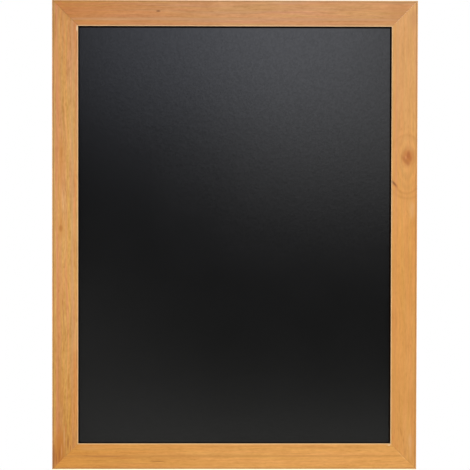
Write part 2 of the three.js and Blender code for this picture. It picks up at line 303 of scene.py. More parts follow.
class GeometryTree:
    """A Geometry Nodes tree with named inputs. It runs on an object and is baked into its mesh.

    An input's value that is a whole number is a count, and any other is a length in millimetres.
    """

    def __init__(self, name: str, **inputs: float) -> None:
        """Makes the tree and its inputs.

        Args:
            name: the tree's name.
            **inputs: the value of each named input, with _ for a blank in its name.
        """
        self.tree = bpy.data.node_groups.new(name, "GeometryNodeTree")
        self.values = inputs
        self.identifiers = {}
        kinds = {key: "Int" if isinstance(value, int) else "Float" for key, value in inputs.items()}
        for key, kind in {"Geometry": "Geometry", **kinds, "Material": "Material"}.items():
            socket = self.tree.interface.new_socket(key.replace("_", " "), in_out="INPUT",
                                                    socket_type="NodeSocket" + kind)
            self.identifiers[key] = socket.identifier
        self.tree.interface.new_socket("Geometry", in_out="OUTPUT", socket_type="NodeSocketGeometry")
        self.entry = self.tree.nodes.new("NodeGroupInput")

    def given(self, name: str) -> NodeSocket:
        """The tree's own input of that name."""
        return self.entry.outputs[name]

    def add(self, kind: str, *inputs: Value, **settings: Value) -> Node:
        """Adds a node to this tree, as add_node does."""
        return add_node(self.tree, kind, *inputs, **settings)

    def outline(self, corners: list[tuple[Value, Value]], closed: bool) -> Node:
        """A curve through corners whose places are worked out in the tree.

        Args:
            corners: x and y of each corner.
            closed: whether the last corner is joined to the first.

        Returns:
            The curve.
        """
        pick = self.add("IndexSwitch:VECTOR")
        while len(pick.index_switch_items) < len(corners):
            pick.index_switch_items.new()
        places = [self.add("CombineXYZ", x, y, 0.0) for x, y in corners]
        for socket, value in zip(pick.inputs, [self.add("InputIndex"), *places]):
            feed(self.tree, socket, value)
        points = self.add("MeshCircle" if closed else "MeshLine", len(corners))
        return self.add("MeshToCurve", self.add("SetPosition", points, Position=pick))

    def swept(self, path: Value, profile: Value, capped: bool) -> tuple[Value, Value, Value, Value]:
        """Sweeps a profile along a path, and tells for each point of the shell where it comes from.

        Args:
            path: the curve that is followed.
            profile: the curve that is swept.
            capped: whether the ends are closed.

        Returns:
            The shell, the profile's x and y, and the share of the path's length.
        """
        profile = self.add("StoreNamedAttribute:FLOAT_VECTOR", profile, Name="drawn",
                           Value=self.add("InputPosition"))
        path = self.add("StoreNamedAttribute:FLOAT", path, Name="station",
                        Value=self.add("SplineParameter").outputs["Factor"])
        shell = self.add("CurveToMesh", path, profile, Fill_Caps=capped)
        drawn = self.add("SeparateXYZ", self.add("InputNamedAttribute:FLOAT_VECTOR", "drawn")).outputs
        return shell, drawn["X"], drawn["Y"], self.add("InputNamedAttribute:FLOAT", "station")

    def turned(self, shell: Value, share: Value, radius: Value, height: Value) -> Node:
        """Wraps a shell round the y axis and closes it.

        Args:
            shell: the geometry.
            share: how far round a point goes, from 0 to 1.
            radius: how far from the axis it lies.
            height: where along the axis it lies.

        Returns:
            The closed shell.
        """
        angle = self.add("Math:MULTIPLY", share, 2 * math.pi)
        x = self.add("Math:MULTIPLY", self.add("Math:COSINE", angle), radius)
        z = self.add("Math:MULTIPLY", self.add("Math:SINE", angle), radius)
        shell = self.add("SetPosition", shell, Position=self.add("CombineXYZ", x, height, z))
        return self.add("MergeByDistance", shell, Distance=MERGED / 2 * MM)

    def lathe(self, rows: int, sides: int, profile: Callable[[Value, Value], tuple[Value, Value]]) -> Node:
        """Turns a shell round the y axis out of a grid.

        Args:
            rows: points along the axis.
            sides: points round it.
            profile: gives the radius and height of a point, from its shares along the axis and round it.

        Returns:
            The closed shell.
        """
        spot = self.add("SeparateXYZ", self.add("InputPosition")).outputs
        row, column = (self.add("Math:ADD", spot[axis], 0.5) for axis in "XY")
        return self.turned(self.add("MeshGrid", 1.0, 1.0, rows, sides + 1), column, *profile(row, column))

    def close(self, geometry: Value) -> None:
        """Ends the tree in real geometry that has its material.

        Args:
            geometry: the node or socket that gives the shape.
        """
        real = self.add("RealizeInstances", geometry)
        self.add("NodeGroupOutput", self.add("SetMaterial", real, Material=self.given("Material")))

    def close_at_anchors(self, shape: Value) -> None:
        """Ends the tree with a shape at each point of the object, turned as the point's turn says.

        Args:
            shape: the node or socket that gives the shape.
        """
        turn = self.add("InputNamedAttribute:FLOAT_VECTOR", "turn")
        self.close(self.add("InstanceOnPoints", self.given("Geometry"), Instance=shape, Rotation=turn))

    def run(self, name: str, mesh: Mesh, material: Material, **changed: float) -> Object:
        """Runs the tree on a mesh and bakes the result.

        Args:
            name: the piece's name.
            mesh: the mesh that the tree starts from.
            material: what the piece is dressed in.
            **changed: inputs that differ from the tree's own values.

        Returns:
            The piece.
        """
        inputs = {self.identifiers["Material"]: material}
        for key, value in {**self.values, **changed}.items():
            inputs[self.identifiers[key]] = value if isinstance(value, int) else value * MM
        return tidy_mesh(shaped(new_object(name, mesh), "NODES", inputs, node_group=self.tree))


class Body(Enum):
    """Bodies of the CAD model that pieces ride on."""

    BOARD = "board"
    LEFT_RING = "left_ring"
    RIGHT_RING = "right_ring"


class Slot(Enum):
    """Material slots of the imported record."""

    WOOD = "frame_wood"
    SURFACE = "writing_surface"
    HARDBOARD = "hardboard"
    STEEL = "framing_steel"
    HANGER = "hanger_zinc"
    SCREW = "screw_zinc"
    RUBBER = "bumper_rubber"


def hang_on(piece: Object, body: Body, slot: Slot, *nodes: str) -> None:
    """Fixes a finished piece to its CAD body, in place of the nodes that it stands for.

    Args:
        piece: the finished piece.
        body: the body that it moves with.
        slot: the record's material slot; not used.
        *nodes: the CAD nodes that it replaces.
    """
    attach(piece, body.value)
    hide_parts(*nodes)
    triangles = sum(len(face.vertices) - 2 for face in piece.data.polygons)
    log.info("%s: %d triangles, on %s", piece.name, triangles, body.value)


class Run(Enum):
    """Which way a length of wood runs: the axis along it and the axis across it."""

    ACROSS_BOARD = ("X", "Z")
    UP_BOARD = ("Z", "X")


@dataclass(frozen=True)
class Side:
    """One side of the board. Its pieces are drawn as the bottom rail's and turned about the y axis."""

    node: str
    angle: float  # degrees
    run: Run
    outward: float  # sign of the way from the board's middle to it
    half: float  # half of its outer edge, mm
    reach: float  # from the board's middle to its outer edge, mm
    points: int  # flexible points in its rebate

    def stations(self) -> list[float]:
        """Where its flexible points are, in millimetres from its middle."""
        opening = 2 * (self.half - REBATE_WALL)
        return [((i + 0.5) / self.points - 0.5) * opening for i in range(self.points)]

    def pilots(self) -> list[float]:
        """Where its screw holes are, in millimetres from its middle."""
        return [self.outward * height for height in SCREW_HEIGHTS if self.run is Run.UP_BOARD]


SIDES: tuple[Side, ...] = (
    Side("bottom_rail", 0.0, Run.ACROSS_BOARD, -1.0, 350.0, 450.0, 3),
    Side("right_stile", -90.0, Run.UP_BOARD, 1.0, 450.0, 350.0, 4),
    Side("top_rail", 180.0, Run.ACROSS_BOARD, 1.0, 350.0, 450.0, 3),
    Side("left_stile", 90.0, Run.UP_BOARD, -1.0, 450.0, 350.0, 4),
)


@dataclass(frozen=True)
class Grain:
    """A noise pattern whose patches have a real size.

    size is a patch's length along each coordinate in millimetres, or the same one for all. seed moves the
    pattern, detail is how many finer layers it has, and roughness is how strong those are.
    """

    size: float | tuple[float, float, float]
    seed: float
    detail: float = 2.0
    roughness: float = 0.5


class Shading:
    """A material's node tree while a finish is being made. Coordinates are in millimetres."""

    def __init__(self, name: str) -> None:
        """Makes the material, its shader and its coordinates.

        Args:
            name: what the material is.
        """
        self.material = bpy.data.materials.new(name)
        self.material.use_nodes = True
        self.tree = self.material.node_tree
        self.shader = self.tree.nodes["Principled BSDF"]
        self.place = self.add("VectorMath:SCALE", self.add("TexCoord").outputs["Object"], Scale=1 / MM)

    def add(self, kind: str, *inputs: Value, **settings: Value) -> Node:
        """Adds a node to this material, as add_node does."""
        return add_node(self.tree, kind, *inputs, **settings)

    def grain(self, pattern: Grain, place: Value = None, shift: float = 0.0) -> Node:
        """Draws a pattern.

        Args:
            pattern: what is drawn.
            place: coordinates in millimetres, if not the piece's own.
            shift: added to the seed, so that no two pieces are alike.

        Returns:
            The pattern, from 0 to 1.
        """
        size = pattern.size if isinstance(pattern.size, tuple) else (pattern.size,) * 3
        scaled = self.add("VectorMath:MULTIPLY_ADD", place or self.place, tuple(1 / side for side in size),
                          (pattern.seed + shift,) * 3)
        return self.add("TexNoise", Vector=scaled, Scale=1.0, Detail=pattern.detail,
                        Roughness=pattern.roughness)

    def shade(self, **values: Value) -> Material:
        """Sets or links the shader's sockets.

        Args:
            **values: what goes into each input, as feed takes it, with _ for a blank in its name.

        Returns:
            The finished material.
        """
        for key, value in values.items():
            feed(self.tree, self.shader.inputs[key.replace("_", " ")], value)
        return self.material


@dataclass(frozen=True)
class Mark:
    """A soft patch of other colour in the wood: a stain, a dark fibre or a check.

    x and y name its middle in the photograph. long and wide are its half sizes along the grain and across it,
    in millimetres, and turn is how far it leans outward from the grain, in degrees.
    """

    x: float
    y: float
    long: float
    wide: float
    colour: str
    strength: float
    turn: float = 0.0
    streaky: float = 0.0


@dataclass(frozen=True)
class Knot:
    """A knot with the grain parting round it. pixel names its middle in the photograph. Radii are in mm."""

    pixel: tuple[float, float]
    core: float = 4.5
    halo: float = 20.0
    core_colour: str = "#a05624"
    halo_colour: str = "#ab6424"
    uneven: float = 12.0  # mm by which its outline wavers
    ring_pace: float = 2.2  # radians per mm: the core's rings are 2.9 mm apart
    arc_pace: float = 0.62  # radians per mm: the faint arcs are 10 mm apart
    arc_shade: float = 0.05  # how much lighter or darker the arcs are
    parted: tuple[float, float] = (1.7, 1.05)  # how far the grain parts along it and across it, in halos
    parting: float = 0.9  # share of the distance from the knot that the grain loses there


@dataclass(frozen=True)
class Arc:
    """A growth ring that bends round the knot: a piece of an ellipse.

    pixel names the ellipse's middle in the photograph, and half is its size along the grain and across it, in
    millimetres. side is 1 for the part above the middle and -1 for the part below it.
    """

    pixel: tuple[float, float]
    half: tuple[float, float]
    side: float
    strength: float
    colour: str = "#a86826"
    width: float = 0.13  # share of the ellipse's size
    waver: float = 0.12  # how far it follows the grain's waves


@dataclass(frozen=True)
class LacqueredPine:
    """Planed softwood under clear satin lacquer.

    The lacquer fills the pores, so the eye gets warm honey colour, ochre and pinkish bands that follow the
    growth rings, fine fibres along the grain and a soft gloss, but hardly any relief. Patterns are given by
    their patches along the grain, from ring to ring and into the wood. Fibres are drawn 2 mm wide, since
    finer ones would be lost in a pixel.
    """

    colours: tuple[str, str, str]  # low or left end, middle, high or right end
    pith: tuple[float, float]  # middle of the tree: across, and out of the wall, mm
    seed: float
    hues: float  # how far the bands differ in hue
    fibres: float  # how strong the fine streaks are
    marks: tuple[tuple, ...]  # each as Mark takes it
    glue: tuple[float, float] = (0.0, 0.0)  # dark line at the mitre of the low or left end, and of the other
    bright_edge: float = 0.0  # strength of the painted highlight on the outer arris
    knots: tuple[Knot, ...] = ()
    arcs: tuple[Arc, ...] = ()
    wave: Grain = Grain((240, 45, 60), 0.0)
    wave_reach: float = 14.0  # mm by which it bends the grain
    wobble: Grain = Grain((34, 14, 20), 2.0)
    wobble_reach: float = 4.0
    pink: Grain = Grain((150, 4.2, 60), 5.0, 1.0)
    yellow: Grain = Grain((190, 4.8, 60), 7.0, 1.0)
    bands: Grain = Grain((170, 3.4, 60), 11.0)
    fine: Grain = Grain((38, 2.0, 6), 3.0, 3.0, 0.6)
    flecks: Grain = Grain((9, 2.4, 4), 17.0)
    cloud: Grain = Grain((55, 20, 20), 13.0, 3.0)
    pores: Grain = Grain((13, 1.8, 3), 9.0)
    pinks: tuple[str, str] = ("#f1ffee", "#ffe6ee")  # what the pinkish bands multiply the colour by
    yellows: tuple[str, str] = ("#ffffc0", "#f6f2ff")
    banding: float = 0.32  # how much lighter or darker the bands are
    clouding: float = 0.28
    pore_peak: tuple[float, float] = (0.62, 0.76)  # of the pattern: where a pore begins, and its middle
    pore_shade: float = 0.2
    shading: tuple[float, float, float] = (0.7, 1.0, 1.8)  # what red, green and blue take of light and dark
    sight_highlight: float = 0.55  # strength of the painted highlight on the sight edge's arris
    # colour of that painted highlight
    sight_highlight_colour: str = "#f0cf9f"
    bright_colour: str = "#fbd2a2"  # of the painted highlight on the outer arris
    lip_shadow: float = 0.94
    shadow_colour: str = "#1a0d06"
    rim: float = 0.42  # strength of the dark line near the outer edge
    rim_place: float = 2.7  # mm from the outer edge to that line
    rim_colour: str = "#7d5528"
    glue_colour: str = "#8a5a2a"
    roughness: float = 0.40
    fibre_roughness: float = 0.06  # what the fibres add to it
    relief: float = 0.06  # mm of height left under the lacquer

    def material(self, side: Side) -> Material:
        """Makes the wood of one side of the board.

        Args:
            side: the side.

        Returns:
            The material.
        """
        return GrainedWood(self, side).finished()


class GrainedWood(Shading):
    """A member's wood while it is painted: places in it, its patterns and its colour so far."""

    def __init__(self, wood: LacqueredPine, side: Side) -> None:
        """Lays the grain and the colour that grew with it.

        Args:
            wood: the kind of wood.
            side: the side of the board that it is on.
        """
        super().__init__("lacquered_pine_" + side.node.split("_")[0])
        add = self.add
        self.wood, self.side = wood, side
        self.centre = side.reach - RAIL_WIDTH / 2
        split = add("SeparateXYZ", self.place).outputs
        self.along = split[side.run.value[0]]
        self.across = add("Math:MULTIPLY_ADD", split[side.run.value[1]], side.outward, -self.centre)
        self.deep = add("Math:MULTIPLY", split["Y"], -1.0)

        # The grain's slow waves and small wobbles, and the way it parts round a knot
        straight = add("CombineXYZ", self.along, self.across, self.deep)
        self.bent = self.across
        for pattern, reach in ((wood.wave, wood.wave_reach), (wood.wobble, wood.wobble_reach)):
            self.bent = add("Math:MULTIPLY_ADD", self.grain(pattern, straight, wood.seed), reach, self.bent)
        for knot in wood.knots:
            self.part_grain(knot)

        # Growth rings are told by the distance from the pith
        off = add("Math:SUBTRACT", self.bent, wood.pith[0])
        back = add("Math:SUBTRACT", self.deep, wood.pith[1])
        ring = add("VectorMath:LENGTH", add("CombineXYZ", off, back))
        flow = add("CombineXYZ", self.along, ring, self.deep)
        grown = (wood.pink, wood.yellow, wood.bands, wood.fine, wood.flecks, wood.cloud, wood.pores)
        pink, yellow, bands, self.fine, flecks, self.cloud, pores = (
            self.grain(pattern, flow, wood.seed) for pattern in grown)
        self.pores = add("MapRange", pores, *wood.pore_peak, 0.0, 1.0)

        share = add("MapRange", self.along, -side.half, side.half, 0.0, 1.0)
        self.colour = add("ValToRGB", share, stops=[(i / 2, colour) for i, colour in enumerate(wood.colours)])
        for pattern, (low, high) in ((pink, wood.pinks), (yellow, wood.yellows)):
            hue = add("ValToRGB", pattern, stops=[(0.36, low), (0.64, high)])
            self.colour = add("Mix:RGBA", Factor=wood.hues, A=self.colour, B=hue, blend_type="MULTIPLY")
        weights = ((bands, wood.banding), (self.fine, wood.fibres), (flecks, 0.6 * wood.fibres),
                   (self.cloud, wood.clouding), (self.pores, -wood.pore_shade))
        light = 1.0 - sum(weight for _, weight in weights) / 2
        for pattern, weight in weights:
            light = add("Math:MULTIPLY_ADD", pattern, weight, light)
        # Darker wood is also redder: blue falls most and red least
        light = add("CombineXYZ", light, light, light)
        rest = tuple(1.0 - take for take in wood.shading)
        light = add("VectorMath:MULTIPLY_ADD", light, wood.shading, rest)
        self.colour = add("VectorMath:MULTIPLY", self.colour, light)

    def finished(self) -> Material:
        """Draws what the photograph shows on the member, and lacquers it.

        Returns:
            The material.
        """
        for knot in self.wood.knots:
            self.draw_knot(knot)
        for arc in self.wood.arcs:
            self.draw_arc(arc)
        for row in self.wood.marks:
            self.draw_mark(Mark(*row))
        self.draw_edges()
        height = self.add("Math:MULTIPLY_ADD", self.fine, 0.6, self.pores)
        relief = self.add("Bump", Strength=0.2, Distance=self.wood.relief * MM, Height=height)
        gloss = self.add("Math:MULTIPLY_ADD", self.fine, self.wood.fibre_roughness, self.wood.roughness)
        return self.shade(Base_Color=self.colour, Roughness=gloss, Normal=relief, Specular_IOR_Level=0.4)

    def spot(self, x: float, y: float) -> tuple[float, float]:
        """Where a pixel of the photograph is on this member.

        Args:
            x: pixels from the picture's left side.
            y: pixels from the picture's top.

        Returns:
            Millimetres along the grain from the board's middle, and outward from the member's centre line.
        """
        right, up = at_pixel(x, y)
        along, aside = (right, up) if self.side.run is Run.ACROSS_BOARD else (up, right)
        return along, aside * self.side.outward - self.centre

    def patch(self, middle: tuple[float, float], half: tuple[float, float], turn: float = 0.0,
              across: Value = None) -> Node:
        """Distance from a patch's middle, which is 1 at its rim.

        Args:
            middle: the patch's middle, mm.
            half: its half sizes, mm.
            turn: how far it leans outward from the grain, in degrees.
            across: the coordinate across the grain, if not the plain one.

        Returns:
            The distance.
        """
        add = self.add
        cosine, sine = math.cos(math.radians(turn)), math.sin(math.radians(turn))
        off = add("CombineXYZ", add("Math:SUBTRACT", self.along, middle[0]),
                  add("Math:SUBTRACT", across or self.across, middle[1]))
        rows = ((cosine / half[0], sine / half[0], 0.0), (-sine / half[1], cosine / half[1], 0.0))
        shares = (add("VectorMath:DOT_PRODUCT", off, row) for row in rows)
        return add("VectorMath:LENGTH", add("CombineXYZ", *shares))

    def stain(self, hex_colour: str, *factors: Value) -> None:
        """Mixes another colour into the wood's.

        Args:
            hex_colour: the other colour.
            *factors: how much of it. Several are multiplied.
        """
        factor, *more = factors
        for other in more:
            factor = self.add("Math:MULTIPLY", factor, other)
        self.colour = self.add("Mix:RGBA", Factor=factor, A=self.colour, B=hex_colour)

    def part_grain(self, knot: Knot) -> None:
        """Makes the grain part round a knot.

        Args:
            knot: the knot.
        """
        add = self.add
        middle = self.spot(*knot.pixel)
        # Where the distance across the grain grows slowly, its lines lie far apart. It fades as a bell curve
        far = self.patch(middle, tuple(reach * knot.halo for reach in knot.parted))
        fall = add("Math:EXPONENT", add("Math:MULTIPLY", add("Math:POWER", far, 2.0), -1.3))
        pull = add("Math:MULTIPLY", add("Math:SUBTRACT", self.across, middle[1]), fall)
        self.bent = add("Math:MULTIPLY_ADD", pull, -knot.parting, self.bent)

    def draw_mark(self, mark: Mark) -> None:
        """Lays one mark over the colour. The fibres break up a streaky one.

        Args:
            mark: the mark.
        """
        far = self.patch(self.spot(mark.x, mark.y), (mark.long, mark.wide), mark.turn)
        factors = [self.add("MapRange", far, 1.0, 0.2, 0.0, mark.strength, interpolation_type="SMOOTHSTEP")]
        if mark.streaky:
            factors.append(self.add("MapRange", self.fine, 0.42, 0.58, 1.0 - mark.streaky, 1.0))
        self.stain(mark.colour, *factors)

    def draw_knot(self, knot: Knot) -> None:
        """Draws a knot: wide faint arcs, a halo, and a core with its own fine rings.

        Args:
            knot: the knot.
        """
        add = self.add
        along, across = self.spot(*knot.pixel)
        # Distances from the knot in millimetres across the grain. Along it the knot and its arcs are longer
        far = add("Math:SUBTRACT", self.patch((along, across), (1.3, 1.0)), knot.uneven / 2)
        far = add("Math:MULTIPLY_ADD", self.cloud, knot.uneven, far)
        wide = self.patch((along - 2 * knot.core, across), (2.1, 1.0))
        wide = add("Math:MULTIPLY_ADD", self.cloud, 0.75 * knot.uneven, wide)
        arcs = add("Math:SINE", add("Math:MULTIPLY", wide, knot.arc_pace))
        fade = add("MapRange", wide, knot.halo, 2.2 * knot.halo, knot.arc_shade, 0.0)
        arcs = add("Math:MULTIPLY_ADD", arcs, fade, 1.0)
        self.colour = add("VectorMath:SCALE", self.colour, Scale=arcs)
        halo = add("MapRange", far, knot.halo, knot.core, 0.0, 0.8, interpolation_type="SMOOTHSTEP")
        core = add("MapRange", far, knot.core, 0.4 * knot.core, 0.0, 1.0, interpolation_type="SMOOTHSTEP")
        rings = add("Math:SINE", add("Math:MULTIPLY", far, knot.ring_pace))
        self.stain(knot.halo_colour, halo)
        self.stain(knot.core_colour, core, add("Math:MULTIPLY_ADD", rings, 0.15, 0.8))

    def draw_arc(self, arc: Arc) -> None:
        """Draws one growth ring that bends round the knot and wavers as the grain does.

        Args:
            arc: the ring.
        """
        add = self.add
        middle = self.spot(*arc.pixel)
        waves = add("Math:SUBTRACT", self.bent, self.across)
        wavy = add("Math:MULTIPLY_ADD", waves, arc.waver, self.across)
        far = add("Math:SUBTRACT", self.patch(middle, arc.half, across=wavy), 1.0)
        line = add("MapRange", add("Math:ABSOLUTE", far), arc.width, 0.0, 0.0, arc.strength,
                   interpolation_type="SMOOTHSTEP")
        beyond = add("Math:MULTIPLY", add("Math:SUBTRACT", self.along, middle[0]), arc.side)
        self.stain(arc.colour, line, add("MapRange", beyond, 0.1 * arc.half[0], 0.6 * arc.half[0], 0.0, 1.0))

    def draw_edges(self) -> None:
        """Paints highlights on the arrises and shade on the rebate's lip, and darkens the outer rim and the
        glued mitres.
        """
        add, across, wood = self.add, self.across, self.wood
        half = RAIL_WIDTH / 2
        # The face is 23.1 mm out of the wall. Behind it, the edges keep the wood's own colour
        front = add("MapRange", self.deep, 19.0, 21.5, 0.0, 1.0)
        # Painted highlight along the sight edge's arris
        painted_highlight = add("MapRange", across, 2.0 - half, 0.8 - half, 0.0, wood.sight_highlight)
        self.stain(wood.sight_highlight_colour, painted_highlight, front)
        # The lip's own edge lies in its shadow, from where the arris ends
        self.stain(wood.shadow_colour, add("MapRange", self.deep, 22.3, 21.5, 0.0, wood.lip_shadow),
                   add("MapRange", across, 0.9 - half, 0.3 - half, 0.0, 1.0))

        # A dark line runs inside the outer edge, and on the rails the arris itself gets a painted highlight
        rim = add("Math:ABSOLUTE", add("Math:SUBTRACT", across, half - wood.rim_place))
        self.stain(wood.rim_colour, add("MapRange", rim, 1.5, 0.5, 0.0, wood.rim), front)
        if wood.bright_edge:
            painted_highlight = add("MapRange", across, half - 2.0, half - 1.2, 0.0, wood.bright_edge)
            self.stain(wood.bright_colour, painted_highlight, front)

        # Glue has soaked into the end grain, which shows as a dark line of 1 to 2 mm along the mitre
        inward = add("Math:MULTIPLY_ADD", across, -1.0, half)
        left = add("Math:MULTIPLY_ADD", add("Math:ABSOLUTE", self.along), -1.0, self.side.half)
        strength = add("MapRange", self.along, -1.0, 1.0, *wood.glue)
        beside = add("Math:SUBTRACT", left, inward)
        self.stain(wood.glue_colour, add("MapRange", beside, 1.8, 0.5, 0.0, strength))


WHOLE = 1500.0  # far longer than a member, so that a band doesn't fade toward its ends
WOODS: dict[str, LacqueredPine] = {
    "top_rail": LacqueredPine(
        ("#b07134", "#b98253", "#bc834f"), (-70.0, -40.0), 1.0, 0.35, 0.75, glue=(0.3, 0.0), bright_edge=0.7,
        marks=(
            (235, 19.3, WHOLE, 3.6, "#b8885e", 0.6), (235, 23, WHOLE, 2.6, "#c38049", 0.55),
            (158, 11.4, 6.0, 1.9, "#6b3514", 0.95), (60, 4, 6.0, 8.0, "#b9643a", 0.4, 0.0, 0.6),
            (112, 20, 45.0, 2.2, "#c09468", 0.4), (100, 23.5, 60.0, 2.0, "#bf7a30", 0.5),
            (398, 3, 46.0, 3.2, "#a67c50", 0.5), (288, 3, 60.0, 3.4, "#c49a74", 0.35),
            (405, 9, 14.0, 5.0, "#b87c48", 0.35), (398, 13, 34.0, 30.0, "#b0763e", 0.5),
        )),
    "bottom_rail": LacqueredPine(
        ("#bd7e31", "#ca8d45", "#cb8f47"), (-60.0, -30.0), 2.0, 0.15, 0.6, bright_edge=0.8,
        marks=(
            (235, 456.4, WHOLE, 3.4, "#b27838", 0.45), (105, 456.5, 60.0, 2.2, "#a1642a", 0.55, 0.0, 0.4),
            (158, 461.5, 24.0, 1.6, "#96591f", 0.75), (95, 461, 34.0, 2.0, "#a96e30", 0.4, 0.0, 0.4),
            (215, 446.7, 85.0, 2.4, "#b87c38", 0.4), (90, 448.5, 34.0, 5.5, "#cc9454", 0.4),
            (126, 458.5, 36.0, 2.6, "#b86e2a", 0.45), (225, 449.8, 60.0, 1.7, "#d09858", 0.4),
            (389.8, 445.3, 3.4, 1.7, "#dccdaa", 0.75), (403, 456.5, 21.0, 1.5, "#dcaa68", 0.45, 45.0),
        )),
    "left_stile": LacqueredPine(
        ("#b97d3d", "#c79055", "#ba824b"), (-80.0, -30.0), 3.0, 0.58, 1.1, glue=(0.0, 0.12),
        marks=(
            (54.3, 235, WHOLE, 3.0, "#b98d48", 0.6), (57.3, 200, WHOLE, 4.2, "#c17c55", 0.5),
            (60.5, 260, 600.0, 3.4, "#c58648", 0.5), (72.4, 180, 700.0, 3.4, "#bb915f", 0.6),
            (75.6, 235, WHOLE, 2.8, "#c98346", 0.5), (67, 260, 240.0, 4.0, "#c88552", 0.4),
            (60, 456, 34.0, 13.0, "#a5602a", 0.75, 0.0, 0.85),
            (66, 440, 40.0, 10.0, "#ad6c33", 0.45, 0.0, 0.9), (60.9, 228, 10.0, 4.8, "#9a541f", 0.8),
            (61.4, 221, 10.0, 1.8, "#b06a2c", 0.5), (61.6, 152.5, 15.0, 3.6, "#a8682c", 0.6),
            (64, 267, 3.0, 1.8, "#a86a2c", 0.6), (58, 4, 12.0, 6.0, "#b8623a", 0.5, 0.0, 0.7),
            (60, 449, 62.0, 14.0, "#b06c20", 0.85), (53.6, 457, 38.0, 5.0, "#945420", 0.75),
            (68, 443, 17.0, 1.9, "#94501c", 0.85), (70.4, 448, 9.0, 1.5, "#9a5622", 0.7),
            (64.2, 437, 32.0, 1.8, "#d2a67c", 0.35), (59.2, 455, 19.0, 1.8, "#94501c", 0.8),
            (56.3, 459, 15.0, 1.7, "#985422", 0.75), (61.6, 451, 19.0, 1.7, "#cfa074", 0.35),
            (66, 428, 16.0, 1.8, "#b4652c", 0.6), (77, 28.8, 8.0, 2.2, "#d9c49e", 0.75),
            (62, 158, 75.0, 7.0, "#ba7a2e", 0.45), (60.5, 389, 60.0, 7.0, "#b4752c", 0.45),
            (62, 227, 50.0, 7.0, "#bd7d34", 0.45), (75.5, 335, 45.0, 3.0, "#d2a264", 0.5),
            (54.4, 30, 60.0, 3.4, "#ae7730", 0.5), (72.5, 443, 22.0, 4.0, "#a9702f", 0.5),
            (76, 436, 20.0, 5.0, "#b07740", 0.5),
        )),
    "right_stile": LacqueredPine(
        ("#c18542", "#c58841", "#c38c51"), (-75.0, -35.0), 4.0, 0.2, 0.45,
        knots=(Knot((407.5, 156.0)),),
        arcs=(Arc((407, 176), (32.0, 26.0), -1.0, 0.34), Arc((408, 181), (32.0, 34.0), -1.0, 0.24),
              Arc((407, 150), (30.0, 27.0), 1.0, 0.2)),
        marks=(
            (394.6, 235, WHOLE, 2.8, "#cc8846", 0.5), (397.6, 60, 260.0, 2.2, "#bd9056", 0.4),
            (396.2, 160, 300.0, 1.8, "#c6825c", 0.5), (408.4, 154, 11.0, 4.6, "#904616", 0.65),
            (409.9, 157.5, 8.0, 4.0, "#964e1a", 0.5), (404.7, 159.3, 15.0, 5.4, "#9a5620", 0.45, -38.0),
            (408, 162, 8.0, 4.0, "#a05a24", 0.4), (405.6, 156.8, 5.5, 2.6, "#cd8c60", 0.4),
            (394.3, 183.2, 15.0, 4.8, "#a46026", 0.55, -43.0),
            (393.4, 182.2, 12.0, 2.6, "#74421a", 0.8, -43.0), (409.5, 156, 15.0, 8.0, "#b66f2c", 0.25),
            (412, 209, 26.0, 7.0, "#d09d66", 0.5), (401.8, 432, 13.0, 1.9, "#a16228", 0.45, -8.0),
            (404.3, 441, 13.0, 1.9, "#a5672c", 0.35), (405.8, 452, 12.0, 1.9, "#a06228", 0.35),
            (411, 441, 19.0, 5.5, "#d2a070", 0.4), (393.4, 438, 9.0, 2.2, "#bf6f2c", 0.6),
            (413.4, 459, 9.0, 3.2, "#a96f38", 0.2), (398.3, 446.5, 6.0, 2.0, "#c07638", 0.5),
            (413, 19, 28.0, 14.0, "#b37b48", 0.5), (411.5, 452, 24.0, 4.0, "#cf9a62", 0.4),
            (391.7, 100, 150.0, 2.2, "#8f6a3c", 0.5), (392, 205, 90.0, 2.4, "#b08a62", 0.4),
        )),
}


@dataclass(frozen=True)
class BlackMelamine:
    """Black melamine laminate, pressed against a matt plate.

    The plate leaves a fine orange peel, so a softbox shows as a wide soft sheen that is slightly mottled.
    """

    colour: str = "#020202"
    dusty: str = "#040404"
    roughness: float = 0.253
    dulled: float = 0.03  # what the thickest dust adds to the roughness
    dust: Grain = Grain(70.0, 21.0, 4.0, 0.6)
    waves: Grain = Grain(7.0, 8.0, 2.0, 0.45)
    wave_height: float = 0.06  # mm
    peel: Grain = Grain(3.0, 3.0)
    peel_height: float = 0.05  # mm
    pits: Grain = Grain(4.0, 33.0)  # real ones are finer, but would be lost in a pixel
    swallowed: float = 0.15  # how metallic a pit is

    def material(self) -> Material:
        """Makes the sheet's surface.

        Returns:
            The material.
        """
        paint = Shading("black_melamine")
        add = paint.add
        dust = paint.grain(self.dust)
        colour = add("Mix:RGBA", Factor=dust, A=self.colour, B=self.dusty)
        gloss = add("Math:MULTIPLY_ADD", dust, self.dulled, self.roughness - self.dulled / 2)
        # Pits swallow part of the sheen. A trace of black metal does that here: it reflects less than resin
        pits = add("MapRange", paint.grain(self.pits), 0.4, 0.6, 0.0, self.swallowed)
        relief = add("Bump", Strength=1.0, Distance=self.wave_height * MM, Height=paint.grain(self.waves))
        relief = add("Bump", Strength=1.0, Distance=self.peel_height * MM, Height=paint.grain(self.peel),
                     Normal=relief)
        return paint.shade(Base_Color=colour, Roughness=gloss, Normal=relief, Metallic=pits,
                           Specular_IOR_Level=0.55)


@dataclass(frozen=True)
class PaintedLipShade:
    """Painted shade on the sheet's border, standing in for the lip's shadow.

    Only 2 or 3 mm of it show past the lip. The eye gets a dark, slightly brown line round the sheet.
    """

    colour: str = "#120a06"
    shine: float = 0.02  # specular level, kept near zero so that the painted shade has next to no sheen

    def material(self) -> Material:
        """Makes the border's painted shade."""
        paint = Shading("matt_border")
        return paint.shade(Base_Color=self.colour, Roughness=0.9, Specular_IOR_Level=self.shine)


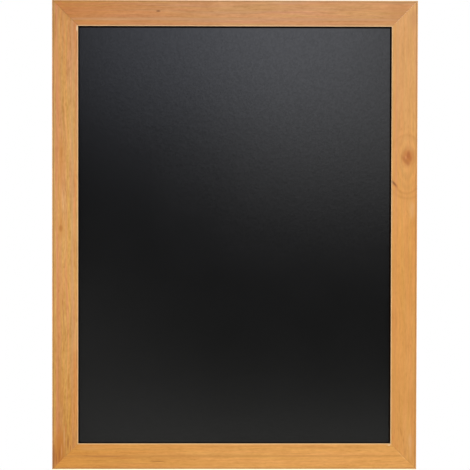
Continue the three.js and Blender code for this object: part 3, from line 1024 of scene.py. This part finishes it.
@dataclass(frozen=True)
class Hardboard:
    """Wet-process hardboard seen from its screen side.

    The wire screen that it was pressed on prints a fine mesh into the brown fibre, and it is quite matt.
    """

    colour: str = "#80562f"
    dark: str = "#5d3c20"
    mesh: float = 3.0  # mm between wires; real ones are about 1.5 mm, too fine to show
    fibre: Grain = Grain((3.5, 3.5, 1.2), 4.0, 4.0, 0.65)
    cloud: Grain = Grain(90.0, 11.0, 3.0)
    base: float = 0.13  # the tone before the patterns add to it
    shares: tuple[float, float, float] = (0.14, 0.6, 0.10)  # of the clouds, fibres and wires in the tone
    relief: float = 0.12  # mm

    def material(self) -> Material:
        """Makes the board's surface.

        Returns:
            The material.
        """
        paint = Shading("hardboard")
        add = paint.add
        split = add("SeparateXYZ", paint.place).outputs
        turns = (add("Math:MULTIPLY", split[axis], 2 * math.pi / self.mesh) for axis in "XZ")
        screen = add("Math:MULTIPLY", *(add("Math:SINE", turn) for turn in turns))
        fibre, cloud = paint.grain(self.fibre), paint.grain(self.cloud)
        tone = self.base
        for pattern, share in zip((cloud, fibre, screen), self.shares):
            tone = add("Math:MULTIPLY_ADD", pattern, share, tone)
        colour = add("ValToRGB", tone, stops=[(0.36, self.dark), (0.64, self.colour)])
        height = add("Math:MULTIPLY_ADD", fibre, 0.5, screen)
        relief = add("Bump", Strength=0.5, Distance=self.relief * MM, Height=height)
        return paint.shade(Base_Color=colour, Roughness=0.82, Normal=relief, Specular_IOR_Level=0.25)


@dataclass(frozen=True)
class UnevenFinish:
    """What three finishes have in common: two tones, uneven gloss and a faint relief."""

    name: str
    colours: tuple[str, str]
    tones: Grain  # where each colour shows
    bumps: Grain
    relief: tuple[float, float]  # strength, and height in millimetres
    roughness: tuple[float, float]  # the least, and what dull places add
    metallic: float = 1.0

    def material(self) -> Material:
        """Makes the surface.

        Returns:
            The material.
        """
        paint = Shading(self.name)
        tones, bumps = paint.grain(self.tones), paint.grain(self.bumps)
        colour = paint.add("Mix:RGBA", Factor=tones, A=self.colours[0], B=self.colours[1])
        # Metal is dull where it is rough, and rubber where its bloom lies
        least, more = self.roughness
        gloss = paint.add("Math:MULTIPLY_ADD", bumps if self.metallic else tones, more, least)
        strength, height = self.relief
        relief = paint.add("Bump", Strength=strength, Distance=height * MM, Height=bumps)
        return paint.shade(Base_Color=colour, Roughness=gloss, Normal=relief, Metallic=self.metallic)


@dataclass(frozen=True)
class ZincPlate(UnevenFinish):
    """Steel, barrel plated with bright zinc and passivated clear.

    Tumbling in the barrel leaves soft dull spots, and the passivation gives a faint blue and straw cast.
    """

    name: str = "hanger_zinc"
    colours: tuple[str, str] = ("#c9ccce", "#c3c0b2")
    tones: Grain = Grain(9.0, 12.0)
    bumps: Grain = Grain(2.2, 5.0, 3.0)
    relief: tuple[float, float] = (0.2, 0.03)
    roughness: tuple[float, float] = (0.19, 0.22)


@dataclass(frozen=True)
class RolledSteel(UnevenFinish):
    """Bare cold-rolled strip, cut and hardened: grey, streaky from the rolls, darker where heat blued it."""

    name: str = "rolled_steel"
    colours: tuple[str, str] = ("#9a9ca0", "#6d6a66")
    tones: Grain = Grain(5.0, 7.0)
    bumps: Grain = Grain((0.8, 6.0, 9.0), 2.0, 3.0)
    relief: tuple[float, float] = (0.2, 0.03)
    roughness: tuple[float, float] = (0.30, 0.25)


@dataclass(frozen=True)
class MouldedRubber(UnevenFinish):
    """Dark moulded rubber: matt, with a fine bloom that makes it a little grey and uneven."""

    name: str = "moulded_rubber"
    colours: tuple[str, str] = ("#2a2a2b", "#3a3937")
    tones: Grain = Grain(4.0, 6.0, 4.0, 0.6)
    bumps: Grain = Grain(0.6, 9.0)
    relief: tuple[float, float] = (0.25, 0.04)
    roughness: tuple[float, float] = (0.68, 0.15)
    metallic: float = 0.0


@dataclass(frozen=True)
class StudioPaper:
    """White paper floor of a studio: matt, very slightly uneven."""

    colours: tuple[str, str] = ("#ececea", "#e7e7e5")
    cloud: Grain = Grain(400.0, 2.0)

    def material(self) -> Material:
        """Makes the floor's surface.

        Returns:
            The material.
        """
        paint = Shading("studio_paper")
        colour = paint.add("Mix:RGBA", Factor=paint.grain(self.cloud), A=self.colours[0], B=self.colours[1])
        return paint.shade(Base_Color=colour, Roughness=0.9, Specular_IOR_Level=0.2)


@dataclass
class CornerNails:
    """V-nails that pull the mitres together, two in each corner, driven from the back."""

    wing: float = 6.5
    thickness: float = 0.6
    height: float = 10.0
    ground: float = 0.8  # length of the sharpened edge
    inward: tuple[float, float] = (15.96, 33.6)
    top_y: float = -5.4
    rows: int = 11  # of points down a wing
    thinned: float = 0.3  # what is left of the thickness at the sharp edge
    corners: tuple[tuple[str, float, int, int], ...] = (
        ("top_right", 0.0, 1, 1), ("bottom_right", 90.0, 1, -1),
        ("bottom_left", 180.0, -1, -1), ("top_left", -90.0, -1, 1),
    )

    def tree(self) -> GeometryTree:
        """Makes one nail and sets it at each anchor.

        Returns:
            The tree.
        """
        tree = GeometryTree("v_nails", Wing=self.wing, Thickness=self.thickness, Height=self.height,
                            Ground=self.ground, Rows=self.rows)
        add = tree.add
        thick, height = tree.given("Thickness"), tree.given("Height")
        half = add("Math:MULTIPLY", thick, 0.5)
        span = add("Math:ADD", tree.given("Wing"), half)
        middle = add("Math:SUBTRACT", add("Math:MULTIPLY", span, 0.5), half)
        down = add("Math:MULTIPLY", height, -0.5)
        wings = []
        for size, place in (((span, height, thick), (middle, down, 0.0)),
                            ((thick, height, span), (0.0, down, middle))):
            wing = add("MeshCube", Size=add("CombineXYZ", *size), Vertices_Y=tree.given("Rows"))
            wings.append(add("Transform", wing, Translation=add("CombineXYZ", *place)))
        nail = add("MeshBoolean:UNION", wings)
        spot = add("SeparateXYZ", add("InputPosition")).outputs
        edge = add("Math:SUBTRACT", tree.given("Ground"), height)
        low = add("Math:MULTIPLY", height, -1.0)
        keep = add("MapRange", spot["Y"], low, edge, self.thinned, 1.0)
        sides = []
        for axis in "XZ":
            near = add("Math:LESS_THAN", add("Math:ABSOLUTE", spot[axis]), thick)
            thin = add("Math:MULTIPLY", spot[axis], keep)
            sides.append(add("Mix:FLOAT", Factor=near, A=spot[axis], B=thin))
        ground = add("CombineXYZ", sides[0], spot["Y"], sides[1])
        tree.close_at_anchors(add("SetPosition", nail, Position=ground))
        return tree

    def build(self, steel: Material) -> None:
        """Builds all nails as one piece and fixes it to the board.

        Args:
            steel: their material.
        """
        anchors = {}
        for row, inward in enumerate(self.inward, 1):
            for name, angle, right, up in self.corners:
                width, height = (half + RAIL_WIDTH - inward for half in SIGHT)
                anchors[f"v_nail_{name}_{row}"] = (Vector((right * width, self.top_y, up * height)), angle)
        piece = self.tree().run("corner_nails", anchor_mesh(*anchors.values()), steel)
        hang_on(piece, Body.BOARD, Slot.STEEL, *anchors)


@dataclass
class PanelPoints:
    """Flexible steel points, driven into the rebate's wall, that keep the panel in."""

    length: float = 15.0
    width: float = 6.5
    thickness: float = 0.5
    bite: float = 6.0
    tip: float = 3.0
    y: float = -12.35

    def tree(self) -> GeometryTree:
        """Stamps one point out of strip and sets it at each anchor.

        Returns:
            The tree.
        """
        tree = GeometryTree("panel_points", Length=self.length, Width=self.width, Thickness=self.thickness,
                            Bite=self.bite, Tip=self.tip, Steps=8)
        add = tree.add
        half = add("Math:MULTIPLY", tree.given("Width"), 0.5)
        minus = add("Math:MULTIPLY", half, -1.0)
        low = add("Math:MULTIPLY", tree.given("Bite"), -1.0)
        shoulder = add("Math:ADD", tree.given("Tip"), low)
        tail = add("Math:ADD", tree.given("Length"), low)
        corners = [(0.0, low), (half, shoulder), (half, tail), (minus, tail), (minus, shoulder)]
        line = tree.outline(corners, True)
        spot = add("SeparateXYZ", add("InputPosition")).outputs
        radius = add("Math:MULTIPLY", add("Math:GREATER_THAN", spot["Y"], shoulder), half)
        line = add("FilletCurve:POLY", line, Count=tree.given("Steps"), Radius=radius, Limit_Radius=True)
        flat = add("FillCurve:NGONS", line)
        thick = add("ExtrudeMesh:FACES", flat, Offset=(0, 0, 1), Offset_Scale=tree.given("Thickness"),
                    Individual=False).outputs["Mesh"]
        strip = add("JoinGeometry", [thick, add("FlipFaces", flat)])
        out = add("Math:SUBTRACT", add("Math:MULTIPLY", tree.given("Thickness"), 0.5), spot["Z"])
        upright = add("CombineXYZ", spot["X"], out, spot["Y"])
        tree.close_at_anchors(add("SetPosition", strip, Position=upright))
        return tree

    def build(self, steel: Material) -> None:
        """Builds all points as one piece and fixes it to the board.

        Args:
            steel: their material.
        """
        anchors = {}
        for side in SIDES:
            turn = Matrix.Rotation(math.radians(side.angle), 3, "Y")
            for i, along in enumerate(side.stations(), 1):
                spot = turn @ Vector((along, self.y, REBATE_WALL - side.reach))
                anchors[f"panel_point_{side.node}_{i}"] = (spot, side.angle)
        piece = self.tree().run("flexible_points", anchor_mesh(*anchors.values()), steel)
        hang_on(piece, Body.BOARD, Slot.STEEL, *anchors)


@dataclass
class MitredFrame:
    """Four lengths of moulded wood, mitred at the corners and cut for their fasteners.

    The section is drawn inward from the outer edge and forward from the back face.
    """

    depth: float = 18.0
    lip: float = 6.0
    outer_arris: float = 2.0
    sight_arris: float = 1.6
    back_arris: float = 1.0
    sawn_arris: float = 0.2  # at the cut ends
    mitre_gap: float = 0.1
    clearance: float = 0.15  # round a fastener in its slot
    overcut: float = 1.0  # how far a cutter starts outside the wood
    pilot_radius: float = 2.0
    pilot_depth: float = 13.1

    def section(self) -> Mesh:
        """Outline of the moulding, with the radius that each corner gets.

        Returns:
            A closed line: x is inward and y is forward.
        """
        shelf = self.depth - self.lip
        corners = (
            (0.0, 0.0, self.back_arris), (REBATE_WALL, 0.0, self.back_arris), (REBATE_WALL, shelf, 0.0),
            (RAIL_WIDTH, shelf, 0.0), (RAIL_WIDTH, self.depth, self.sight_arris),
            (0.0, self.depth, self.outer_arris),
        )
        points = [Vector((inward, forward, 0.0)) for inward, forward, _ in corners]
        return drawn_mesh("section", points, True, arris=[radius for *_, radius in corners])

    def tree(self) -> GeometryTree:
        """Sweeps a section along a length and cuts both ends to a mitre.

        Returns:
            The tree. Its result lies along x, with y inward and z forward.
        """
        tree = GeometryTree("mitred_rail", Length=0.0, Trim=self.mitre_gap / math.sqrt(2), Arris_Steps=8)
        add = tree.add
        line = add("MeshToCurve", tree.given("Geometry"))
        radius = add("InputNamedAttribute:FLOAT", "arris")
        profile = add("FilletCurve:POLY", line, Count=tree.given("Arris Steps"), Radius=radius,
                      Limit_Radius=True)
        path = add("CurvePrimitiveLine", Start=(0, 0, 0), End=(1, 0, 0))
        swept, inward, forward, station = tree.swept(path, profile, True)
        end = add("Math:MULTIPLY_ADD", station, 2.0, -1.0)
        half = add("Math:MULTIPLY", tree.given("Length"), 0.5)
        reach = add("Math:SUBTRACT", add("Math:SUBTRACT", half, inward), tree.given("Trim"))
        place = add("CombineXYZ", add("Math:MULTIPLY", reach, end), inward, forward)
        tree.close(add("SetPosition", swept, Position=place))
        return tree

    def slots(self, side: Side) -> Object:
        """What the fasteners need cut out of a member, lying as the tree's result does.

        Args:
            side: the side that the member is on.

        Returns:
            The cutters, as one object.
        """
        clear, over = self.clearance, self.overcut
        shape = bmesh.new()
        nails, points = CornerNails(), PanelPoints()
        deep = nails.height + BACK_Y - nails.top_y
        for inward in nails.inward:
            low, high = inward - nails.wing - clear, inward + nails.thickness / 2 + clear
            for end in (-1, 1):
                add_box(shape, (end * (side.half - inward), (low + high) / 2, (deep - over + clear) / 2),
                        (nails.thickness + 2 * clear, high - low, deep + over + clear))
        low, high = REBATE_WALL - points.bite - clear, REBATE_WALL + over
        for along in side.stations():
            add_box(shape, (along, (low + high) / 2, BACK_Y - points.y),
                    (points.width + 2 * clear, high - low, points.thickness + 2 * clear))
        for along in side.pilots():
            place = Vector((along, REBATE_WALL / 2, (self.pilot_depth - over) / 2)) * MM
            bmesh.ops.create_cone(shape, cap_ends=True, segments=24, radius1=self.pilot_radius * MM,
                                  radius2=self.pilot_radius * MM, depth=(self.pilot_depth + over) * MM,
                                  matrix=Matrix.Translation(place))
        return new_object("slots", shape)

    def build(self) -> None:
        """Builds the four members and fixes them to the board."""
        tree = self.tree()
        for side in SIDES:
            wood = WOODS[side.node].material(side)
            piece = tree.run(side.node + "_wood", self.section(), wood, Length=2 * side.half)
            bevel_edges(piece, self.sawn_arris)
            cutter = self.slots(side)
            shaped(piece, "BOOLEAN", {}, operation="DIFFERENCE", solver="EXACT", object=cutter)
            bpy.data.objects.remove(cutter)
            # x along, y inward, z forward become x along, z inward, -y forward, and turn with the side
            lie = Matrix(((1, 0, 0, 0), (0, 0, -1, BACK_Y * MM), (0, 1, 0, -side.reach * MM), (0, 0, 0, 1)))
            piece.data.transform(Matrix.Rotation(math.radians(side.angle), 4, "Y") @ lie)
            hang_on(tidy_mesh(piece), Body.BOARD, Slot.WOOD, side.node)


@dataclass
class WritingPanel:
    """The writing sheet glued to its hardboard back.

    A layer is given by y of its front and of its back, and by the width of its broken edge.
    """

    size: tuple[float, float] = (613.0, 813.0)
    sheet: tuple[float, float, float] = (-16.9, -15.9, 0.15)
    back: tuple[float, float, float] = (-15.8, -12.8, 0.4)
    border: tuple[float, float, float, float] = (2.2, 3.0, 1.7, 2.9)  # width of the painted shade band seen at the left, right, bottom, top
    # Radius of the painted shade band's inner corners: high right, high left, low left, low right
    corners: tuple[float, float, float, float] = (0.8, 0.8, 3.0, 0.8)
    steps: int = 6  # in which such a corner turns

    def slab(self, name: str, layer: tuple[float, float, float]) -> Object:
        """A sawn sheet with its edges broken.

        Args:
            name: the piece's name.
            layer: the layer that it makes.

        Returns:
            The piece.
        """
        front, back, edge = layer
        shape = bmesh.new()
        add_box(shape, (0.0, (front + back) / 2, 0.0), (self.size[0], back - front, self.size[1]))
        return tidy_mesh(bevel_edges(new_object(name, shape), edge, segments=3))

    def split_border(self, sheet: Object) -> None:
        """Splits the sheet's front face into the glossy field and a border of painted shade, where the lip
        shades the sheet.

        Args:
            sheet: the sheet, with the field's material first and the painted shade's second.
        """
        left, right, low, high = self.border
        width, height = SIGHT
        tips = ((width - right, height - high), (left - width, height - high), (left - width, low - height),
                (width - right, low - height))
        shape = bmesh.new()
        shape.from_mesh(sheet.data)
        front = max(shape.faces, key=lambda face: -face.normal.y * face.calc_area())
        rim, y = list(front.verts), front.verts[0].co.y
        shape.faces.remove(front)
        outer, arcs = [], []
        for quarter, ((x, z), radius) in enumerate(zip(tips, self.corners)):
            outer.append(max(rim, key=lambda point, x=x, z=z: point.co.x * x + point.co.z * z))
            arcs.append([])
            for step in range(self.steps + 1):
                angle = math.pi / 2 * (quarter + step / self.steps)
                aside = x + radius * (math.cos(angle) - math.copysign(1, x))
                up = z + radius * (math.sin(angle) - math.copysign(1, z))
                arcs[-1].append(shape.verts.new((aside * MM, y, up * MM)))
        for i, (corner, arc) in enumerate(zip(outer, arcs)):
            follow = (i + 1) % len(outer)
            border = [(corner, b, a) for a, b in zip(arc, arc[1:])]
            for face in (*border, (corner, outer[follow], arcs[follow][0], arc[-1])):
                shape.faces.new(face).material_index = 1
        shape.faces.new([point for arc in arcs for point in arc])
        shape.to_mesh(sheet.data)
        shape.free()
        tidy_mesh(sheet)

    def build(self) -> None:
        """Builds both layers and fixes them to the board."""
        sheet, back = self.slab("black_sheet", self.sheet), self.slab("hardboard_back", self.back)
        # The sheet's second material is painted shade along its border, where the lip shades it
        for piece, *finishes in ((sheet, BlackMelamine(), PaintedLipShade()), (back, Hardboard())):
            for finish in finishes:
                piece.data.materials.append(finish.material())
        self.split_border(sheet)
        hang_on(sheet, Body.BOARD, Slot.SURFACE, "writing_sheet")
        hang_on(back, Body.BOARD, Slot.HARDBOARD, "backing_board")


@dataclass
class PanHeadScrew:
    """A pan-head wood screw with a rolled thread, along the y axis with its head's underside at y = 0."""

    head: float = 6.8
    head_height: float = 2.1
    band: float = 0.5  # the head's upright rim
    shank: float = 3.5
    core: float = 2.5
    length: float = 14.0
    point: float = 4.0
    pitch: float = 1.5
    recess: tuple[float, float, float] = (3.8, 0.9, 1.3)  # span, arm, depth
    overlap: float = 0.3  # how far the shank reaches into the head
    head_grid: tuple[int, int] = (41, 48)  # points along the head's profile, and faces round it
    shank_grid: tuple[int, int] = (113, 24)
    under_end: float = 0.1  # share of the head's profile that is its underside
    band_end: float = 0.25  # and where its band ends and its crown begins
    flank: float = 0.45  # share of a thread's rise that stays at the core

    def tree(self) -> GeometryTree:
        """Turns a screw, stamps its cross recess and sets it at each anchor.

        Returns:
            The tree.
        """
        span, arm, sunk = self.recess
        tree = GeometryTree("pan_head_screws", Head=self.head, Head_Height=self.head_height, Band=self.band,
                            Shank=self.shank, Core=self.core, Length=self.length, Point=self.point,
                            Pitch=self.pitch, Recess_Span=span, Recess_Arm=arm, Recess_Depth=sunk,
                            Overlap=self.overlap)
        add, given = tree.add, tree.given

        def head(row: Value, _: Value) -> tuple[Value, Value]:
            """Draws the head's profile: its underside, its band, then its crown.

            Args:
                row: share of the profile.

            Returns:
                Radius and height.
            """
            turn = add("MapRange", row, self.band_end, 1.0, 0.0, math.pi / 2)
            under = add("MapRange", row, 0.0, self.under_end, 0.0, 1.0)
            share = add("Math:MULTIPLY", add("Math:COSINE", turn), under)
            crown = add("Math:SUBTRACT", given("Head Height"), given("Band"))
            band = add("MapRange", row, self.under_end, self.band_end, 0.0, given("Band"))
            return (add("Math:MULTIPLY", share, add("Math:MULTIPLY", given("Head"), 0.5)),
                    add("Math:MULTIPLY_ADD", add("Math:SINE", turn), crown, band))

        def shank(row: Value, column: Value) -> tuple[Value, Value]:
            """Draws the shank: a core with a thread on it, running out to the tip.

            Args:
                row: share of the length, from the tip.
                column: share of the way round.

            Returns:
                Radius and height.
            """
            deep = add("Math:MULTIPLY", row, given("Length"))
            phase = add("Math:SUBTRACT", add("Math:DIVIDE", deep, given("Pitch")), column)
            # The phase repeats after two turns, so crests lie two pitches apart and don't meet along the
            # seam. That seam and the open upper end are hidden by the wood, the strap and the head
            crest = add("MapRange", add("Math:PINGPONG", phase, 1.0), self.flank, 1.0, 0.0, 1.0)
            core, outer = (add("Math:MULTIPLY", given(name), 0.5) for name in ("Core", "Shank"))
            radius = add("Mix:FLOAT", Factor=crest, A=core, B=outer)
            taper = add("Math:DIVIDE", deep, given("Point"), use_clamp=True)
            low = add("Math:MULTIPLY", given("Length"), -1.0)
            return add("Math:MULTIPLY", radius, taper), add("MapRange", row, 0.0, 1.0, low, given("Overlap"))

        top = tree.lathe(*self.head_grid, head)
        tall = add("Math:MULTIPLY", given("Recess Depth"), 2.0)
        for wide, deep in (("Recess Span", "Recess Arm"), ("Recess Arm", "Recess Span")):
            cutter = add("MeshCube", Size=add("CombineXYZ", given(wide), tall, given(deep)))
            cutter = add("Transform", cutter, Translation=add("CombineXYZ", 0.0, given("Head Height"), 0.0))
            top = add("MeshBoolean:DIFFERENCE", top, cutter)
        tree.close_at_anchors(add("JoinGeometry", [top, tree.lathe(*self.shank_grid, shank)]))
        return tree


@dataclass
class StrapHanger:
    """A strip folded round the bar of a D-ring and screwed to the stile, on one side of the board."""

    side: str
    x: float
    body: Body
    stops: tuple[float, float]  # where each screw stopped turning, in degrees
    wire: float = 2.5
    half_width: float = 9.25
    reach: float = 13.5
    corner: float = 3.0
    butt_gap: float = 0.3
    rest_angle: float = 5.10
    head_under: float = -2.8
    tumbled: float = 0.14  # width of the strap's broken edges

    def strap(self, zinc: Material) -> None:
        """The folded strip, taken from the CAD model and softened by tumbling.

        Args:
            zinc: its material.
        """
        node = self.side + "_hanger_strap"
        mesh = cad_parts[node].data.copy()
        mesh.materials.clear()
        mesh.materials.append(zinc)
        piece = tidy_mesh(new_object(self.side + "_strap", mesh), sharp_angle=25.0)
        piece = tidy_mesh(bevel_edges(piece, self.tumbled, angle=50.0), sharp_angle=35.0)
        hang_on(piece, Body.BOARD, Slot.HANGER, node)

    def wire_tree(self) -> GeometryTree:
        """Bends a wire along a line, each corner with its own radius.

        Returns:
            The tree.
        """
        tree = GeometryTree("bent_wire", Diameter=self.wire, Bend_Steps=14, Sides=24)
        add = tree.add
        line = add("MeshToCurve", tree.given("Geometry"))
        line = add("FilletCurve:POLY", line, Count=tree.given("Bend Steps"), Limit_Radius=True,
                   Radius=add("InputNamedAttribute:FLOAT", "bend"))
        half = add("Math:MULTIPLY", tree.given("Diameter"), 0.5)
        circle = add("CurvePrimitiveCircle", Resolution=tree.given("Sides"), Radius=half)
        tree.close(add("CurveToMesh", line, circle, Fill_Caps=True))
        return tree

    def ring(self, tree: GeometryTree, zinc: Material) -> None:
        """The D-ring, hanging down against the strap.

        Args:
            tree: bends the wire.
            zinc: its material.
        """
        half, low, gap = self.half_width, -self.reach, self.butt_gap / 2
        right = [(gap, 0.0, 0.0), (half, 0.0, self.corner), (half, low, half)]
        corners = right + [(-x, z, radius) for x, z, radius in reversed(right)]
        line = drawn_mesh("ring_line", [Vector((x, 0.0, z)) for x, z, _ in corners], False,
                          bend=[radius for *_, radius in corners])
        piece = tree.run(self.side + "_d_ring", line, zinc)
        place = Matrix.Translation(Vector((self.x, *RING_AXIS)) * MM)
        piece.data.transform(place @ Matrix.Rotation(math.radians(self.rest_angle), 4, "X"))
        hang_on(piece, self.body, Slot.HANGER, self.side + "_hanger_ring")

    def screws(self, tree: GeometryTree, zinc: Material) -> None:
        """Both screws as one piece, each stopped at its own angle.

        Args:
            tree: makes the screws.
            zinc: their material.
        """
        spots = [Vector((self.x, self.head_under, height)) for height in SCREW_HEIGHTS]
        piece = tree.run(self.side + "_screws", anchor_mesh(*zip(spots, self.stops)), zinc)
        hang_on(piece, Body.BOARD, Slot.SCREW, *(f"{self.side}_hanger_screw_{i}" for i in (1, 2)))


@dataclass
class WallBumpers:
    """Rubber bumpers under the lower corners, that keep the board off the wall."""

    radius: float = 6.0
    edge: float = 1.2
    x: float = 270.0
    z: float = -429.0
    back_y: float = -5.0
    foot: float = 0.1  # a corner is rounded only if it stands higher than this

    def tree(self) -> GeometryTree:
        """Turns a rounded profile about the y axis and sets it at each anchor.

        Returns:
            The tree.
        """
        tree = GeometryTree("wall_bumpers", Radius=self.radius, Height=-self.back_y, Edge=self.edge,
                            Foot=self.foot, Steps=6, Sides=48)
        add = tree.add
        radius, height = tree.given("Radius"), tree.given("Height")
        line = tree.outline([(0.0, 0.0), (radius, 0.0), (radius, height), (0.0, height)], False)
        up = add("SeparateXYZ", add("InputPosition")).outputs["Y"]
        bend = add("Math:MULTIPLY", add("Math:GREATER_THAN", up, tree.given("Foot")), tree.given("Edge"))
        line = add("FilletCurve:POLY", line, Count=tree.given("Steps"), Radius=bend, Limit_Radius=True)
        # The path only gives the number of sides: any radius will do, since the shell is wrapped anew
        path = add("CurvePrimitiveCircle", Resolution=tree.given("Sides"), Radius=0.05)
        shell, out, up, station = tree.swept(path, line, False)
        tree.close_at_anchors(tree.turned(shell, station, out, up))
        return tree

    def build(self, rubber: Material) -> None:
        """Builds both bumpers as one piece and fixes it to the board.

        Args:
            rubber: their material.
        """
        anchors = ((Vector((side * self.x, self.back_y, self.z)), 0.0) for side in (-1, 1))
        piece = self.tree().run("rubber_bumpers", anchor_mesh(*anchors), rubber)
        hang_on(piece, Body.BOARD, Slot.RUBBER, "left_wall_bumper", "right_wall_bumper")


@dataclass(frozen=True)
class Softbox:
    """A soft studio light. Its place and size are in metres, and it looks at the origin."""

    name: str
    place: tuple[float, float, float]
    size: tuple[float, float]
    power: float
    tint: tuple[float, float, float] = (1.0, 1.0, 1.0)

    def build(self) -> None:
        """Makes the light."""
        light = bpy.data.lights.new(self.name, "AREA")
        light.shape = "RECTANGLE"
        light.size, light.size_y = self.size
        light.energy = self.power
        light.color = self.tint
        lamp = bpy.data.objects.new(self.name, light)
        lamp.location = self.place
        lamp.rotation_euler = Vector(self.place).to_track_quat("Z", "Y").to_euler()
        lamp.visible_camera = False
        bpy.context.scene.collection.objects.link(lamp)


@dataclass
class Studio:
    """Camera, floor, backdrop and lights, in metres and degrees."""

    distance: float = 3.0
    azimuth: float = 0.657  # the camera stands a little to the left
    elevation: float = 1.118
    roll: float = 0.101
    pixels_at_middle: float = 517.74  # pixels per metre at the board's middle
    aim: tuple[float, float, float] = (0.00058, 0.0, 0.00037)
    sensor: float = 36.0
    floor_z: float = -1.35
    floor_radius: float = 4.5  # it ends before the camera's lowest ray would meet it
    zenith: float = 1.0  # brightness of the white ceiling
    front: float = 0.0  # brightness of the dark side, where the camera stands
    behind: float = 0.8
    # The four in front of the board show in the writing sheet as its sheen; the two at the sides, which
    # lie too far round for that, light the wood.
    lights: tuple[Softbox, ...] = (
        Softbox("key_left", (0.004, -2.0, 1.005), (1.013, 1.347), 6.58, (0.917, 0.963, 1.131)),
        Softbox("key_right", (0.532, -2.0, 0.81), (1.22, 1.508), 6.90, (1.007, 1.003, 1.014)),
        Softbox("low_left", (-0.965, -2.0, -0.5), (1.514, 0.713), 1.08, (1.04, 1.028, 0.996)),
        Softbox("low_right", (0.214, -2.0, -0.734), (1.30, 0.10), 0.68, (1.047, 1.036, 0.966)),
        Softbox("side_left", (-2.2, -1.0, 0.3), (1.3, 2.4), 48.2),
        Softbox("side_right", (2.2, -1.0, 0.3), (1.3, 2.4), 48.2),
    )

    def camera(self) -> None:
        """Puts the camera where the photograph was taken from."""
        azimuth, elevation = math.radians(self.azimuth), math.radians(self.elevation)
        back = Vector((-math.sin(azimuth) * math.cos(elevation), -math.cos(azimuth) * math.cos(elevation),
                       math.sin(elevation)))
        data = bpy.data.cameras.new("camera")
        data.sensor_width = self.sensor
        data.lens = self.pixels_at_middle * self.distance / PICTURE_SIDE * self.sensor
        data.clip_start, data.clip_end = 0.1, 50.0
        camera = bpy.data.objects.new("camera", data)
        camera.location = Vector(self.aim) + back * self.distance
        turn = (-back).to_track_quat("-Z", "Y").to_matrix() @ Matrix.Rotation(math.radians(self.roll), 3, "Z")
        camera.rotation_euler = turn.to_euler()
        bpy.context.scene.collection.objects.link(camera)
        bpy.context.scene.camera = camera

    def floor(self) -> None:
        """Lays the pale round floor that the board stands over."""
        shape = bmesh.new()
        bmesh.ops.create_circle(shape, cap_ends=True, segments=128, radius=self.floor_radius,
                                matrix=Matrix.Translation((0, 0, self.floor_z)))
        floor = new_object("floor", shape)
        floor.data.materials.append(StudioPaper().material())
        floor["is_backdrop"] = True

    def backdrop(self) -> None:
        """Makes the white surroundings, which light the object less from the camera's side."""
        world = bpy.data.worlds.new("white_studio")
        world.use_nodes = True
        tree = world.node_tree
        tree.nodes.clear()
        # A direction's y is -1 on the camera's side and 1 behind the board, and its z is 1 overhead
        split = add_node(tree, "SeparateXYZ", add_node(tree, "TexCoord").outputs["Generated"]).outputs
        level = add_node(tree, "MapRange", split["Y"], -0.1, 0.5, self.front, self.behind)
        up = add_node(tree, "MapRange", split["Z"], 0.6, 0.85, 0.0, 1.0)
        level = add_node(tree, "Mix:FLOAT", Factor=up, A=level, B=self.zenith)
        seen = add_node(tree, "LightPath").outputs["Is Camera Ray"]
        strength = add_node(tree, "Mix:FLOAT", Factor=seen, A=level, B=1.0)
        add_node(tree, "OutputWorld", add_node(tree, "Background", "#ffffff", strength))
        bpy.context.scene.world = world

    def build(self) -> None:
        """Builds the studio."""
        self.camera()
        self.floor()
        self.backdrop()
        for light in self.lights:
            light.build()
        # Without a film's curve, so that hex colours come out as they are given
        bpy.context.scene.view_settings.view_transform = "Standard"


def write_sizes() -> None:
    """Works out the CAD model's box and the visual model's box, and keeps neither."""
    boxes = {"cad": CAD_BOX, "visual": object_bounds()}
    {name: [list(corner) for corner in box] for name, box in boxes.items()}


def main() -> None:
    """Builds the studio and the chalkboard, one sub-assembly after another."""
    logging.basicConfig(level=logging.INFO, format="%(name)s: %(message)s")
    Studio().build()
    MitredFrame().build()
    WritingPanel().build()
    steel = RolledSteel().material()
    CornerNails().build(steel)
    PanelPoints().build(steel)
    hanger_zinc = ZincPlate().material()
    screw_zinc = ZincPlate("screw_zinc", ("#d2d3d2", "#cdc6ae"), roughness=(0.13, 0.22)).material()
    hangers = (StrapHanger("left", -329.0, Body.LEFT_RING, (24.0, -13.0)),
               StrapHanger("right", 329.0, Body.RIGHT_RING, (8.0, 37.0)))
    wire, screw = hangers[0].wire_tree(), PanHeadScrew().tree()
    for hanger in hangers:
        hanger.strap(hanger_zinc)
        hanger.ring(wire, hanger_zinc)
        hanger.screws(screw, screw_zinc)
    WallBumpers().build(MouldedRubber().material())
    write_sizes()


if __name__ == "__main__":
    main()
